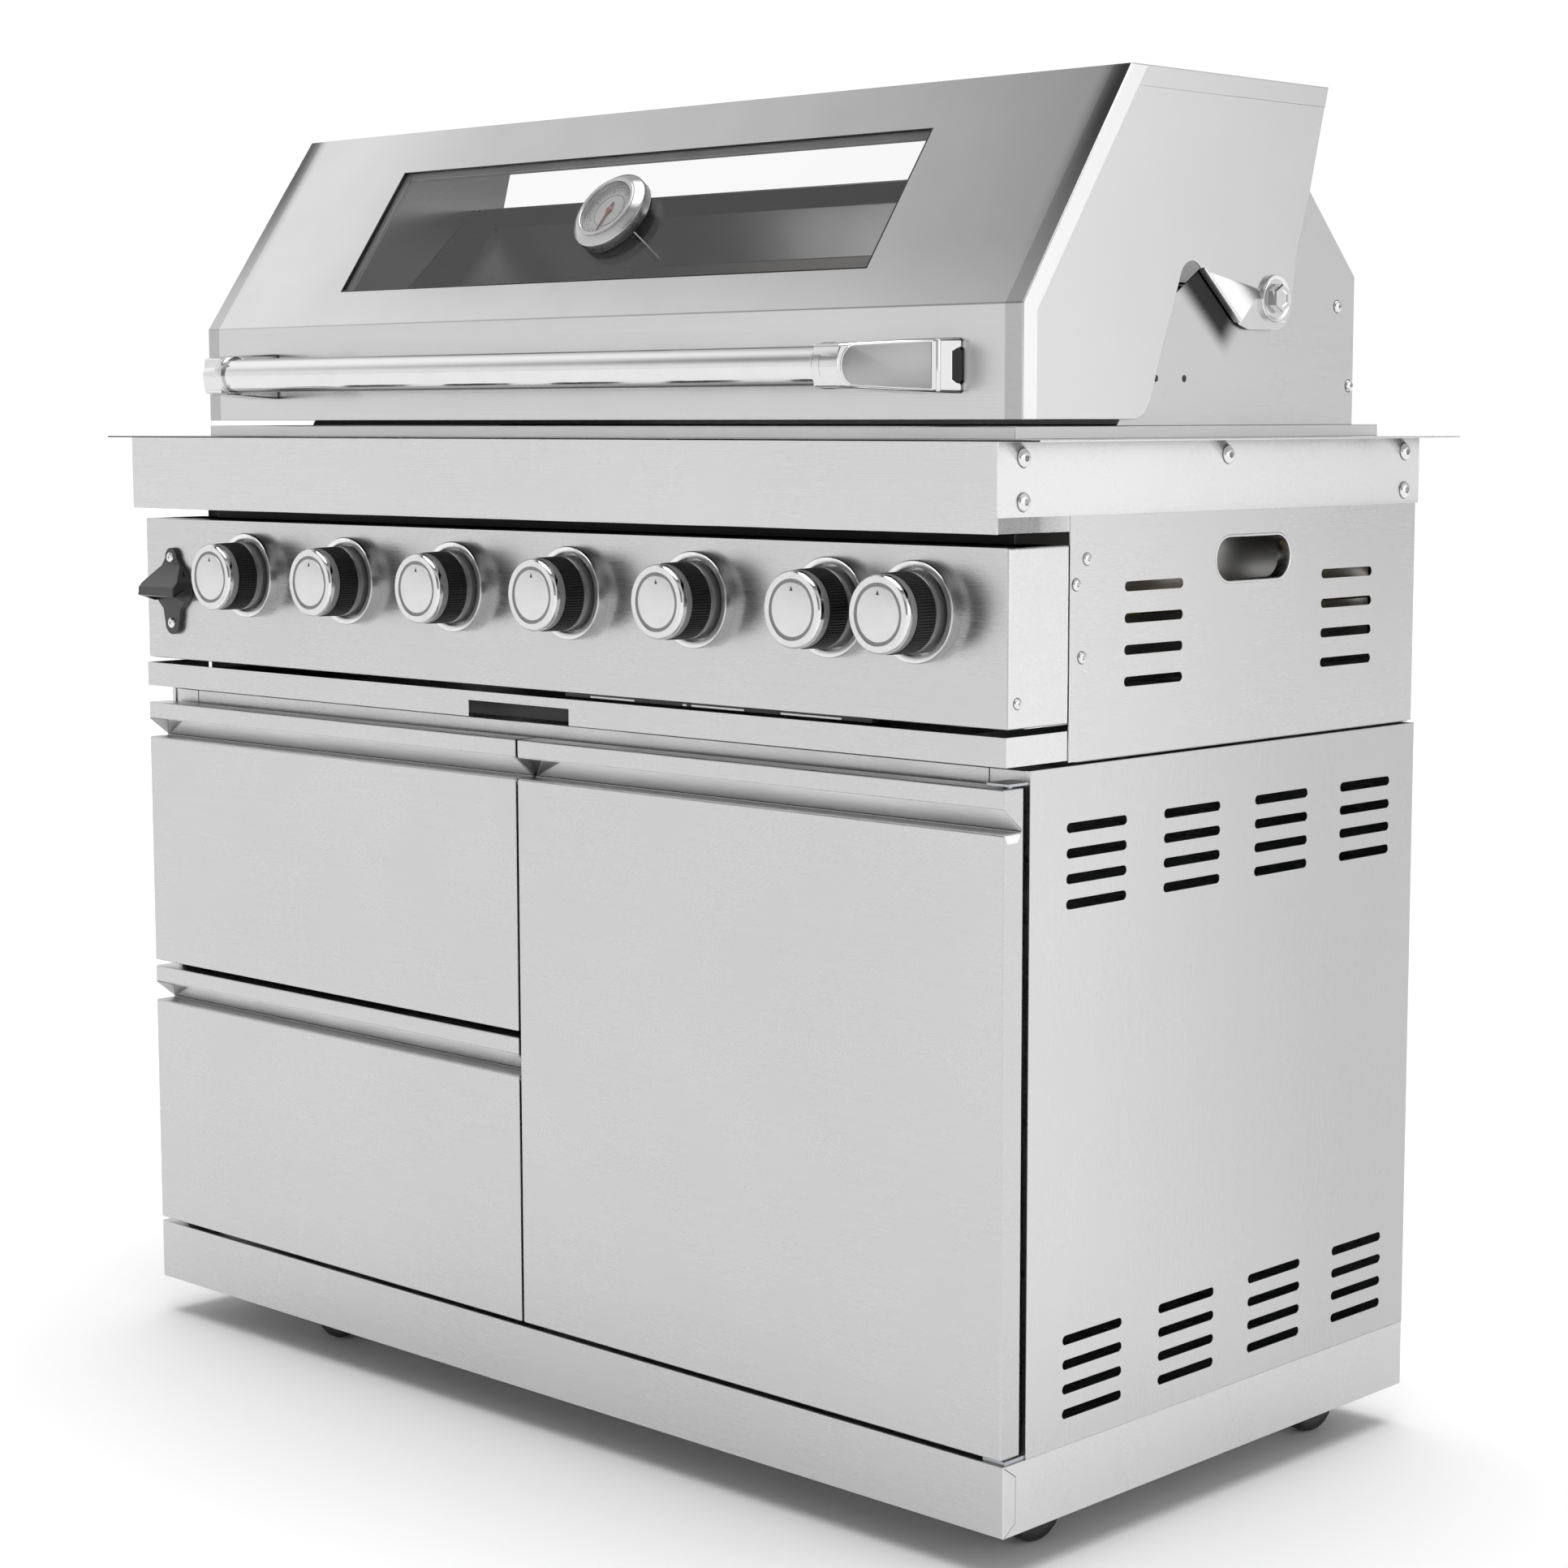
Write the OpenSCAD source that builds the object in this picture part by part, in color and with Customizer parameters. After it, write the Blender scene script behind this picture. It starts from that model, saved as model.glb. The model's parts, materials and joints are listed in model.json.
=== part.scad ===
// Free-standing stainless-steel gas barbecue: a six-burner grill head with a hinged lid and a
// rear burner, on a cabinet with two drawers, one door, a plinth and four swivel casters.
// Millimetres. +X is the right-hand side seen from the front, -Y is the front, +Z is up.
// The origin lies on the floor at the middle of the overall footprint.

/* [Cabinet] */
// Width of the cabinet and of the grill head
cabinet_w = 1180; // [1170:5:1200]
// Depth of the cabinet and of the grill head
cabinet_d = 590; // [585:1:600]
// Clearance between the floor and the plinth
floor_gap = 38; // [30:1:45]
// Height of the plinth
plinth_h = 61; // [60:1:64]
// Height of the door, and of the two drawer fronts with their gap
front_h = 556; // [552:1:560]
// Thickness of the door and drawer fronts
front_t = 25; // [24:0.5:26]
// Height of the upper drawer front
upper_drawer_h = 276; // [270:1:280]
// Distance of the seam between drawers and door from the middle
seam_x = -3; // [-10:1:10]
// Height of the strip above each finger groove
pull_lip_h = 16; // [14:1:18]
// Height of the strip and the finger groove together
pull_h = 37; // [35:1:40]

/* [Grill head] */
// Height of the control panel
panel_h = 146; // [144:1:150]
// Height of the front of the drip drawer
drip_front_h = 24.5; // [22:0.5:25]
// Height of the trim collar at the front
collar_front_h = 74.7; // [72:0.1:76]
// Height of the trim collar at the sides
collar_side_h = 61.7; // [58:0.1:64]
// How far the counter lip stands out at each side
lip_w = 43; // [30:1:50]
// Number of main burners
burner_count = 6; // [4:1:6]
// Distance between neighbouring burners and their knobs
burner_pitch = 161; // [155:1:165]

/* [Lid] */
// Half the width of the lid
lid_half_w = 553; // [551:0.5:555]
// Height of the upright front band of the lid
lid_band_h = 94.5; // [90:0.5:98]
// Run of the sloping front of the lid, front to back
lid_slope_run = 140; // [130:1:150]
// Rise of the sloping front of the lid
lid_slope_rise = 201; // [190:1:205]
// Depth of the flat top of the lid
lid_top_d = 286; // [280:1:290]
// Width of the window
window_w = 720; // [600:10:760]
// Height of the window along the slope
window_h = 150; // [120:5:160]
// Diameter of the handle tube
handle_d = 33; // [30:0.5:35]
// How far the lid opens, in degrees
lid_swing = 90; // [60:5:90]

/* [Knobs] */
// How far the knobs stand out from the control panel
knob_reach = 55; // [50:1:58]
// Diameter of the knob grip
knob_d = 68; // [60:1:72]
// Diameter of the fixed bezel behind each knob
bezel_d = 85; // [80:1:88]

/* [Casters] */
// Diameter of the caster wheels
wheel_d = 70; // [60:1:72]
// Distance from the swivel axis to the wheel axle
caster_trail = 8; // [6:1:10]

/* [Hidden] */
$fn = 48;
sheet = 1.5;          // stainless sheet
fit = 0.06;           // radial clearance of pins and stems
clear = 0.4;          // gap between neighbouring sheets

half_w = cabinet_w / 2;
front_y = (knob_reach - cabinet_d) / 2;     // outer face of the control panel
back_y = front_y + cabinet_d;
function depth(d) = front_y + d;            // distance behind the control panel to a Y place

// Heights above the floor
plinth_top = floor_gap + plinth_h;
fronts_bottom = plinth_top + 5;
fronts_top = fronts_bottom + front_h;
cabinet_top = fronts_top + 13;
head_bottom = cabinet_top + 2.5;
drip_bottom = head_bottom + 2;
panel_bottom = drip_bottom + drip_front_h + 5.5;
panel_top = panel_bottom + panel_h;
knob_z = panel_bottom + 92;
deck_top = panel_top + 85.5;
rim_top = deck_top + 10.5;
lid_bottom = rim_top + 5.3;
lid_fold = lid_bottom + lid_band_h;
lid_top = lid_fold + lid_slope_rise;

// Cabinet
side_in = half_w - sheet;
carcass_y = depth(29);                      // front edge of the side panels
fronts_y = depth(-2);                       // face of the door and drawers
fronts_back = fronts_y + front_t;
fronts_half_w = half_w - 2;
drawer_right = seam_x - 1.5;
door_left = seam_x + 1.5;
lower_drawer_h = front_h - upper_drawer_h - 6;
groove_d = front_t - 2.5;                   // depth of the finger groove
divider_x = seam_x;
runner_w = 6;
runner_h = 42;
runner_l = 440;
drawer_box_l = 470;
vent_l = 80;
vent_h = 8;
cabinet_vent_pitch = 21.2;
cabinet_vent_y = [116, 247.5, 379, 510.5];  // column centres behind the panel face
door_axis = [half_w - 10, fronts_y + 14];   // vertical hinge line of the door
hinge_pin_r = 4;

// Casters: swivel places and the wheel's heading at rest, in degrees
caster_left = -383;
caster_right = half_w - 53;
caster_back = depth(504);
caster_spots = [
    [caster_left, depth(70), 0],
    [caster_right, depth(92), 90],
    [caster_left, caster_back, 0],
    [caster_right, caster_back, 90]
];
wheel_r = wheel_d / 2;
wheel_w = 20;
plate_t = 3;
race_h = 10;

// Head
head_front = depth(79);                     // front edge of the body side panels
body_in = half_w - 3;
tub_half_w = 545;
tub_front = depth(60);
tub_back = depth(578);
tub_floor = head_bottom + 56;
grate_back = depth(480);                    // wall between cooking space and rear flue
grate_z = rim_top - 30;
manifold_y = depth(46);
manifold_r = 12;
inlet_x = half_w - 25;                      // gas connection at the right rear
inlet_r = 10.48;
inlet_l = 20;
valve_r = 10;
stem_r = 4;
burner_r = 22;
burner_span = (burner_count - 1) * burner_pitch;
function burner_x(i) = i * burner_pitch - burner_span / 2;
knob_xs = [for (i = [0 : burner_count - 1]) burner_x(i), burner_x(burner_count - 1) + 96];
button_x = burner_x(0) - 76;
button_z = knob_z - 24;
button_r = 8;
head_vent_y = [192, 477];
head_vent_pitch = 26.5;
opener_x = 51 - half_w;
opener_z = knob_z - 20;
opener_t = 5;

// Lid, in the plane of its end panels
lid_front = depth(59.5);
lid_top_front = lid_front + lid_slope_run;
lid_top_back = lid_top_front + lid_top_d;
hinge_y = depth(406.5);
hinge_z = lid_bottom + 106;
notch_y = depth(287);                       // arch of the notch in the end panels
notch_z = lid_bottom + 118;
slope_l = sqrt(pow(lid_slope_run, 2) + pow(lid_slope_rise, 2));
slope_angle = atan2(lid_slope_rise, lid_slope_run);
bolt_r = 5;
handle_y = depth(-15.5);
handle_z = lid_bottom + 44.5;
handle_arm_in = 404;                        // inner end of the handle sockets
handle_arm_out = 434.6;
handle_foot_in = 434.6;                     // feet of the arms on the lid
handle_foot_out = 490;

// ---------------------------------------------------------------- shared shapes

// A box between two corners.
module span(x0, x1, y0, y1, z0, z1) {
    translate([x0, y0, z0])
        cube([x1 - x0, y1 - y0, z1 - z0]);
}

// A rod along X, Y or Z between two places.
module rod_x(x0, x1, y, z, r) {
    translate([x0, y, z])
        rotate([0, 90, 0])
            cylinder(h = x1 - x0, r = r);
}

module rod_y(x, y0, y1, z, r) {
    translate([x, y0, z])
        rotate([-90, 0, 0])
            cylinder(h = y1 - y0, r = r);
}

module rod_z(x, y, z0, z1, r) {
    translate([x, y, z0])
        cylinder(h = z1 - z0, r = r);
}

// An outline in the YZ plane, drawn out along X.
module along_x(x0, x1, outline) {
    translate([x0, 0, 0])
        rotate([90, 0, 90])
            linear_extrude(x1 - x0)
                polygon(outline);
}

// A slot with round ends that cuts through an upright side sheet, centred on (y, z).
module side_slot(x0, x1, y, z, length, height) {
    r = height / 2;
    straight = length / 2 - r;
    span(x0, x1, y - straight, y + straight, z - r, z + r);
    for (side = [-1, 1])
        rod_x(x0, x1, y + side * straight, z, r);
}

// Copies the children to the left and the right.
module both_sides() {
    for (side = [0, 1])
        mirror([side, 0, 0])
            children();
}

// A four-walled tray with a floor and no top.
module tray(x0, x1, y0, y1, z0, z1, t = sheet) {
    difference() {
        span(x0, x1, y0, y1, z0, z1);
        span(x0 + t, x1 - t, y0 + t, y1 - t, z0 + t, z1 + 1);
    }
}

// ---------------------------------------------------------------- cabinet

module plinth() {
    color("silver")
        difference() {
            span(-half_w, half_w, depth(0), back_y, floor_gap, plinth_top);
            span(sheet - half_w, side_in, depth(sheet), back_y - sheet, floor_gap - 1, plinth_top + 1);
        }
}

module cabinet_floor() {
    color("silver")
        span(sheet - half_w, side_in, depth(sheet), back_y - sheet, plinth_top - sheet, plinth_top);
}

// One side of the cabinet: a sheet with a front return and two banks of ventilation slots.
module cabinet_side() {
    difference() {
        union() {
            span(side_in, half_w, carcass_y, back_y, plinth_top, cabinet_top);
            span(half_w - 6, half_w, carcass_y, carcass_y + sheet, plinth_top, cabinet_top);
        }
        for (y = cabinet_vent_y, row = [0 : 3], bank = [plinth_top + 58.5, plinth_top + 490.5])
            side_slot(side_in - 1, half_w + 1, depth(y), bank + (row - 1.5) * cabinet_vent_pitch + 0.5,
                      vent_l, vent_h);
    }
}

module cabinet_left_side() {
    color("silver")
        mirror([1, 0, 0])
            cabinet_side();
}

module cabinet_right_side() {
    color("silver")
        cabinet_side();
}

module cabinet_back() {
    color("silver")
        span(sheet - half_w, side_in, back_y - 2 * sheet, back_y - sheet, plinth_top, cabinet_top);
}

module cabinet_divider() {
    color("silver")
        span(divider_x - sheet / 2, divider_x + sheet / 2, carcass_y + sheet, back_y - 2 * sheet,
             plinth_top, cabinet_top - 16);
}

// The recessed rail that closes the cabinet above the door and drawers.
module cabinet_top_rail() {
    color("silver")
        difference() {
            span(sheet - half_w + 0.5, side_in - 0.5, carcass_y + sheet, carcass_y + 32,
                 cabinet_top - 15.5, cabinet_top);
            span(2 * sheet - half_w, side_in - sheet, carcass_y + 2 * sheet, carcass_y + 33,
                 cabinet_top - 16, cabinet_top - sheet);
        }
}

// Fixed pins at the top and bottom of the door, each on its own bracket.
module door_hinge_pins() {
    x = door_axis[0];
    y = door_axis[1];
    color("dimgray") {
        span(x - 16, half_w - 2, y - 8, carcass_y, plinth_top, plinth_top + 3.5);
        rod_z(x, y, plinth_top + 3, plinth_top + 18, hinge_pin_r);
        span(x - 16, half_w - 2, y - 8, carcass_y, fronts_top + 1.5, fronts_top + 4);
        rod_z(x, y, fronts_top - 12, fronts_top + 2, hinge_pin_r);
    }
}

// ---------------------------------------------------------------- drawers and door

// Side outline of a door or drawer front whose finger groove runs under a strip at its top.
function front_outline(z0, z1) = [
    [fronts_y, z0],
    [fronts_back, z0],
    [fronts_back, z1],
    [fronts_y, z1],
    [fronts_y, z1 - pull_lip_h],
    [fronts_y + groove_d, z1 - pull_h + 2.5],
    [fronts_y + groove_d, z1 - pull_h],
    [fronts_y, z1 - pull_h]
];

// A folded front: the outline drawn across, hollowed from behind below the groove.
module folded_front(x0, x1, z0, z1) {
    difference() {
        along_x(x0, x1, front_outline(z0, z1));
        span(x0 + 24, x1 - 24, fronts_y + sheet, fronts_back + 1, z0 + 22, z1 - pull_h - 4);
    }
}

// A drawer body behind its front, with the moving halves of its two runners.
module drawer_box(z0, h) {
    x0 = sheet - half_w + 2 * runner_w + clear;
    x1 = divider_x - sheet / 2 - 2 * runner_w - clear;
    tray(x0, x1, fronts_back + clear / 2, fronts_back + drawer_box_l, z0, z0 + h);
    for (x = [x0 - runner_w, x1])
        span(x, x + runner_w, carcass_y + 8, carcass_y + 8 + runner_l,
             z0 + h / 2 - runner_h / 2, z0 + h / 2 + runner_h / 2);
}

upper_bottom = fronts_top - upper_drawer_h;
upper_box_z = upper_bottom + 24;
upper_box_h = 150;
lower_box_z = fronts_bottom + 20;
lower_box_h = 150;

module upper_drawer_front() {
    color("silver")
        folded_front(-fronts_half_w, drawer_right, upper_bottom, fronts_top);
}

module upper_drawer_box() {
    color("lightgray")
        drawer_box(upper_box_z, upper_box_h);
}

module lower_drawer_front() {
    color("silver")
        folded_front(-fronts_half_w, drawer_right, fronts_bottom, fronts_bottom + lower_drawer_h);
}

module lower_drawer_box() {
    color("lightgray")
        drawer_box(lower_box_z, lower_box_h);
}

// The fixed halves of the drawer runners, on the cabinet side and on the divider.
module drawer_runners() {
    x0 = sheet - half_w;
    x1 = divider_x - sheet / 2 - runner_w;
    color("gray")
        for (x = [x0, x1], z = [upper_box_z + upper_box_h / 2, lower_box_z + lower_box_h / 2])
            span(x, x + runner_w, carcass_y + 8, carcass_y + 8 + runner_l,
                 z - runner_h / 2, z + runner_h / 2);
}

module cabinet_door() {
    x = door_axis[0];
    y = door_axis[1];
    bore = hinge_pin_r + fit;
    color("silver")
        difference() {
            folded_front(door_left, fronts_half_w, fronts_bottom, fronts_top);
            rod_z(x, y, fronts_bottom - 1, plinth_top + 18.5, bore);
            rod_z(x, y, fronts_top - 12.5, fronts_top + 1, bore);
        }
}

// ---------------------------------------------------------------- casters

// Places the children at a caster, with its wheel trailing along +X.
module at_caster(i) {
    spot = caster_spots[i];
    translate([spot[0], spot[1], 0])
        rotate([0, 0, spot[2]])
            children();
}

plate_bottom = plinth_top - sheet - plate_t;

module caster_plates() {
    color("gray")
        for (i = [0 : 3])
            at_caster(i) {
                span(-32, 32, -26, 26, plate_bottom, plate_bottom + plate_t);
                cylinder_ring(0, 0, plate_bottom - race_h, plate_bottom, 20, 8 + fit);
            }
}

module cylinder_ring(x, y, z0, z1, r_out, r_in) {
    difference() {
        rod_z(x, y, z0, z1, r_out);
        rod_z(x, y, z0 - 1, z1 + 1, r_in);
    }
}

// A fork with its kingpin and axle.
module caster_fork(i) {
    crown_top = plate_bottom - race_h - clear;
    crown_bottom = crown_top - 4;
    color("dimgray")
        at_caster(i) {
            rod_z(0, 0, crown_bottom, plate_bottom - clear, 8);
            rod_z(0, 0, crown_bottom, crown_top, 19);
            for (side = [-1, 1])
                translate([0, side * (wheel_w / 2 + 2.5), 0])
                    rotate([90, 0, 0])
                        translate([0, 0, -1.5])
                            linear_extrude(3)
                                polygon([[-13, crown_top], [13, crown_top],
                                         [caster_trail + 8, wheel_r - 7], [caster_trail - 8, wheel_r - 7]]);
            rod_y(caster_trail, -wheel_w / 2 - 5, wheel_w / 2 + 5, wheel_r, 3.5);
        }
}

module caster_wheel(i) {
    color("black")
        at_caster(i)
            translate([caster_trail, 0, wheel_r])
                rotate([90, 0, 0])
                    rotate_extrude($fn = 64)
                        polygon([[3.5 + fit, -wheel_w / 2], [wheel_r - 3, -wheel_w / 2],
                                 [wheel_r, 3 - wheel_w / 2], [wheel_r, wheel_w / 2 - 3],
                                 [wheel_r - 3, wheel_w / 2], [3.5 + fit, wheel_w / 2]]);
}

// ---------------------------------------------------------------- grill body

// One side of the grill body, with a hand hole and two banks of slots.
module body_side() {
    difference() {
        span(body_in, body_in + sheet, head_front, back_y - 3, head_bottom, deck_top - 8);
        side_slot(body_in - 1, half_w + 1, depth(333.5), head_bottom + 159.5, 112, 42);
        for (y = head_vent_y, row = [0 : 3])
            side_slot(body_in - 1, half_w + 1, depth(y), head_bottom + 62 + row * head_vent_pitch,
                      vent_l, vent_h);
    }
}

module body_left_side() {
    color("silver")
        mirror([1, 0, 0])
            body_side();
}

module body_right_side() {
    color("silver")
        body_side();
}

module body_back() {
    color("silver")
        difference() {
            span(-body_in, body_in, back_y - 4.5, back_y - 3, head_bottom, deck_top - 8);
            rod_y(inlet_x, back_y - 6, back_y, knob_z, 15);
        }
}

module control_panel() {
    color("silver")
        difference() {
            span(0.5 - half_w, half_w - 0.5, front_y, depth(76), panel_bottom, panel_top);
            span(2 - half_w, half_w - 2, depth(sheet), depth(77), panel_bottom + sheet, panel_top - sheet);
            span(2 - half_w, half_w - 2, depth(22), depth(77), panel_bottom - 1, panel_top + 1);
            for (x = knob_xs)
                rod_y(x, front_y - 1, depth(3), knob_z, 7);
            rod_y(button_x, front_y - 1, depth(3), button_z, 10 + fit);
        }
}

// The collar round the top of the body: front and side aprons, deck and counter lips.
module trim_collar() {
    front = depth(-14.5);
    color("silver")
        difference() {
            union() {
                span(-half_w - lip_w, half_w + lip_w, front, back_y, deck_top - sheet, deck_top);
                span(0.5 - half_w, half_w - 0.5, front, front + sheet, deck_top - collar_front_h, deck_top);
                both_sides() {
                    span(half_w - sheet, half_w, front, back_y, deck_top - collar_side_h, deck_top);
                    span(half_w - 2 * sheet, half_w - sheet, front, head_front - clear,
                         deck_top - collar_front_h, deck_top);
                }
                span(-half_w, half_w, back_y - sheet, back_y, deck_top - collar_side_h, deck_top);
            }
            span(-tub_half_w - 1.5, tub_half_w + 1.5, tub_front - 1.5, tub_back + 1.5,
                 deck_top - 5, deck_top + 1);
        }
}

// The tub that holds the burners, with its rim, a rear wall and two ledges for the grates.
module firebox() {
    wall = tub_half_w - sheet;
    color("dimgray")
        difference() {
            union() {
                span(-tub_half_w, tub_half_w, tub_front, tub_back, tub_floor, rim_top);
                span(-tub_half_w - 4, tub_half_w + 4, tub_front - 4, tub_back + 4, deck_top, rim_top);
            }
            span(-wall, wall, tub_front + sheet, grate_back, grate_z - 3, rim_top + 1);
            span(-wall, wall, tub_front + sheet + 12, grate_back - 12, tub_floor + sheet, rim_top + 1);
            span(-wall, wall, tub_front + sheet, grate_back, tub_floor + sheet, grate_z - 5);
            span(-wall, wall, grate_back + sheet, tub_back - sheet, tub_floor + sheet, rim_top + 1);
            span(-450, 450, depth(150), depth(400), tub_floor - 1, tub_floor + sheet + 1);
            for (i = [0 : burner_count - 1])
                rod_y(burner_x(i), tub_front - 1, tub_front + sheet + 1, knob_z, burner_r + 0.5);
        }
}

// Supply pipe across the front and back along the right side, to the gas connection at the rear.
module gas_manifold() {
    color("gold")
        difference() {
            union() {
                rod_x(burner_x(0) - 40, inlet_x, manifold_y, knob_z, manifold_r);
                rod_y(inlet_x, manifold_y, back_y - inlet_l, knob_z, 9);
                rod_y(inlet_x, back_y - inlet_l, back_y, knob_z, inlet_r);
            }
            rod_x(burner_x(0) - 34, inlet_x, manifold_y, knob_z, manifold_r - 3);
            rod_y(inlet_x, manifold_y, back_y + 1, knob_z, 6);
        }
}

// Seven valves, each a body on the manifold with a bore for its stem.
module gas_valves() {
    color("goldenrod")
        for (x = knob_xs)
            difference() {
                rod_y(x, depth(4), manifold_y - manifold_r + 1, knob_z, valve_r);
                rod_y(x, depth(3), depth(22), knob_z, stem_r + fit);
                rod_x(x - 20, x + 20, manifold_y, knob_z, manifold_r);
            }
}

module main_burners() {
    color("slategray")
        for (i = [0 : burner_count - 1])
            difference() {
                rod_y(burner_x(i), depth(59), depth(462), knob_z, burner_r);
                rod_y(burner_x(i), depth(58), depth(460), knob_z, burner_r - sheet);
            }
}

// A folded heat tent over each burner, standing on its own feet.
module heat_tents() {
    peak = knob_z + 78;
    foot = knob_z + 44;
    color("dimgray")
        for (i = [0 : burner_count - 1])
            translate([burner_x(i), depth(74), 0])
                rotate([90, 0, 180])
                    linear_extrude(380)
                        polygon([[-62, foot], [-59, foot], [0, peak - 2], [59, foot],
                                 [62, foot], [0, peak + 1]]);
}

// Three bar grates side by side on the ledges.
module cooking_grates() {
    pitch = (2 * tub_half_w - 10) / 3;
    y0 = tub_front + 4;
    y1 = grate_back - 3;
    bars = 19;
    color("dimgray")
        for (g = [-1 : 1]) {
            x0 = g * pitch - pitch / 2 + 2;
            step = (pitch - 4 - 7) / (bars - 1);
            for (b = [0 : bars - 1])
                span(x0 + b * step, x0 + b * step + 7, y0, y1, grate_z, grate_z + 10);
            for (y = [y0, (y0 + y1) / 2 - 5, y1 - 10])
                span(x0, x0 + pitch - 4, y, y + 10, grate_z - 2.8, grate_z + 5);
        }
}

// A wire shelf above the back of the grates, held by the housing's end plates.
module warming_rack() {
    z = rim_top + 118;
    y0 = depth(300);
    y1 = depth(418);
    color("silver") {
        for (y = [y0, y1])
            rod_x(-546.9, 546.9, y, z, 3);
        for (x = [-520 : 40 : 520])
            rod_y(x, y0 - 4, y1 + 4, z + 4, 2);
    }
}

// The fixed housing behind the lid: end plates, back, sloping top and a flue wall.
module rear_housing() {
    top_y = depth(436);
    top_z = lid_bottom + 234.8;
    back = depth(540.5);
    shoulder = lid_bottom + 129.2;
    baffle_y = depth(453.5);
    baffle_top = shoulder + (back - baffle_y) * (top_z - shoulder) / (back - top_y) - 2;
    plate = 548.5;
    color("dimgray") {
        both_sides()
            difference() {
                along_x(plate - sheet, plate, [
                    [depth(190), rim_top], [back, rim_top], [back, shoulder], [top_y, top_z],
                    [top_y - 8, top_z], [depth(337), rim_top + 155.5], [depth(262), rim_top + 107]]);
                rod_x(plate - 3, plate + 2, hinge_y, hinge_z, bolt_r + fit);
            }
        span(sheet - plate, plate - sheet, back - sheet, back, rim_top, shoulder);
        along_x(sheet - plate, plate - sheet, [
            [back - sheet, shoulder], [back, shoulder], [top_y, top_z], [top_y - 8, top_z],
            [top_y - 8, top_z - sheet], [top_y - 1, top_z - sheet]]);
        span(sheet - plate, plate - sheet, baffle_y - sheet, baffle_y, rim_top, baffle_top);
    }
}

// The infrared burner on the flue wall: a shallow tray with a ceramic face.
module rear_burner() {
    z0 = rim_top + 50;
    y = depth(452);
    color("dimgray")
        difference() {
            span(-310, 310, y - 24, y, z0, z0 + 118);
            span(-298, 298, y - 25, y - 14, z0 + 12, z0 + 106);
        }
}

module drip_rails() {
    color("silver")
        both_sides() {
            span(500, body_in - clear, depth(90), back_y - 6, head_bottom - 1, head_bottom + 0.5);
            span(521, 521 + sheet, depth(90), back_y - 6, head_bottom + 0.5, head_bottom + 14);
        }
}

// The front of the drip drawer: end returns, a finger cut-out in its lower edge and two arms to the pan.
module drip_drawer_front() {
    color("silver") {
        difference() {
            span(0.5 - half_w, half_w - 0.5, fronts_y, depth(76), drip_bottom, drip_bottom + drip_front_h);
            span(2 - half_w, half_w - 2, fronts_y + sheet, depth(77), drip_bottom - 1,
                 drip_bottom + drip_front_h + 1);
            span(-70, 70, fronts_y - 1, fronts_y + 3, drip_bottom - 1, drip_bottom + 15.5);
        }
        both_sides()
            span(440, 452, fronts_y + sheet, depth(32), head_bottom + 6, head_bottom + 16);
    }
}

// The pan that catches the grease.
module drip_tray() {
    color("lightgray")
        tray(-519, 519, depth(32), depth(566), head_bottom + 1, head_bottom + 22, 1);
}

// ---------------------------------------------------------------- controls

module knob_bezels() {
    color("gainsboro")
        for (x = knob_xs)
            translate([x, front_y, knob_z])
                rotate([90, 0, 0])
                    rotate_extrude()
                        polygon([[bezel_d / 2 - 6, 0], [bezel_d / 2, 0], [bezel_d / 2, 11],
                                 [bezel_d / 2 - 1, 12], [bezel_d / 2 - 6, 12]]);
}

// A round knob with its stem, turned about the Y axis.
module knob(i) {
    r = knob_d / 2;
    color("black")
        translate([knob_xs[i], front_y, knob_z])
            rotate([90, 0, 0]) {
                rotate_extrude()
                    polygon([[0, 4], [r, 4], [r, knob_reach - 13], [r - 1.4, knob_reach - 12],
                             [r - 1.4, knob_reach - 3], [r - 3.2, knob_reach], [0, knob_reach]]);
                translate([0, 0, -21])
                    cylinder(h = 26, r = stem_r);
            }
}

// Push button and the housing it slides in.
module igniter_housing() {
    color("gainsboro")
        difference() {
            union() {
                rod_y(button_x, front_y - 3, front_y, button_z, 12.5);
                rod_y(button_x, front_y, depth(42), button_z, 10);
            }
            rod_y(button_x, front_y - 4, depth(26), button_z, button_r + fit);
        }
}

module igniter_button() {
    color("gainsboro")
        rod_y(button_x, front_y - 8, depth(20), button_z, button_r);
}

// Cast bottle opener: a wall plate with two screw tabs and a hood whose lip catches the cap.
module opener_outline() {
    polygon([[-10, 34], [10, 34], [31, 8], [31, -6], [15, -20], [12, -34],
             [-12, -34], [-15, -20], [-31, -6], [-31, 8]]);
    translate([0, 34])
        circle(r = 10);
    translate([0, -34])
        circle(r = 12);
}

module bottle_opener() {
    reach = 25;
    color("black")
        translate([opener_x, front_y, opener_z])
            difference() {
                union() {
                    rotate([90, 0, 0])
                        linear_extrude(opener_t)
                            opener_outline();
                    intersection() {
                        rotate([90, 0, 0])
                            linear_extrude(reach)
                                opener_outline();
                        along_x(-40, 40, [[0, 30], [-opener_t, 26], [-reach, 3], [-reach, -5], [0, -14]]);
                    }
                }
                along_x(-25, 25, [[-opener_t, -19], [4 - reach, -19], [4 - reach, -2], [-opener_t, 20]]);
            }
}

// A domed screw head that stands out along +X.
module dome_head(r) {
    rotate([0, 90, 0])
        rotate_extrude()
            polygon([[0, 0], [r, 0], [r, 0.16 * r], [0.73 * r, 0.35 * r], [0.4 * r, 0.44 * r], [0, 0.48 * r]]);
}

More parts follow.
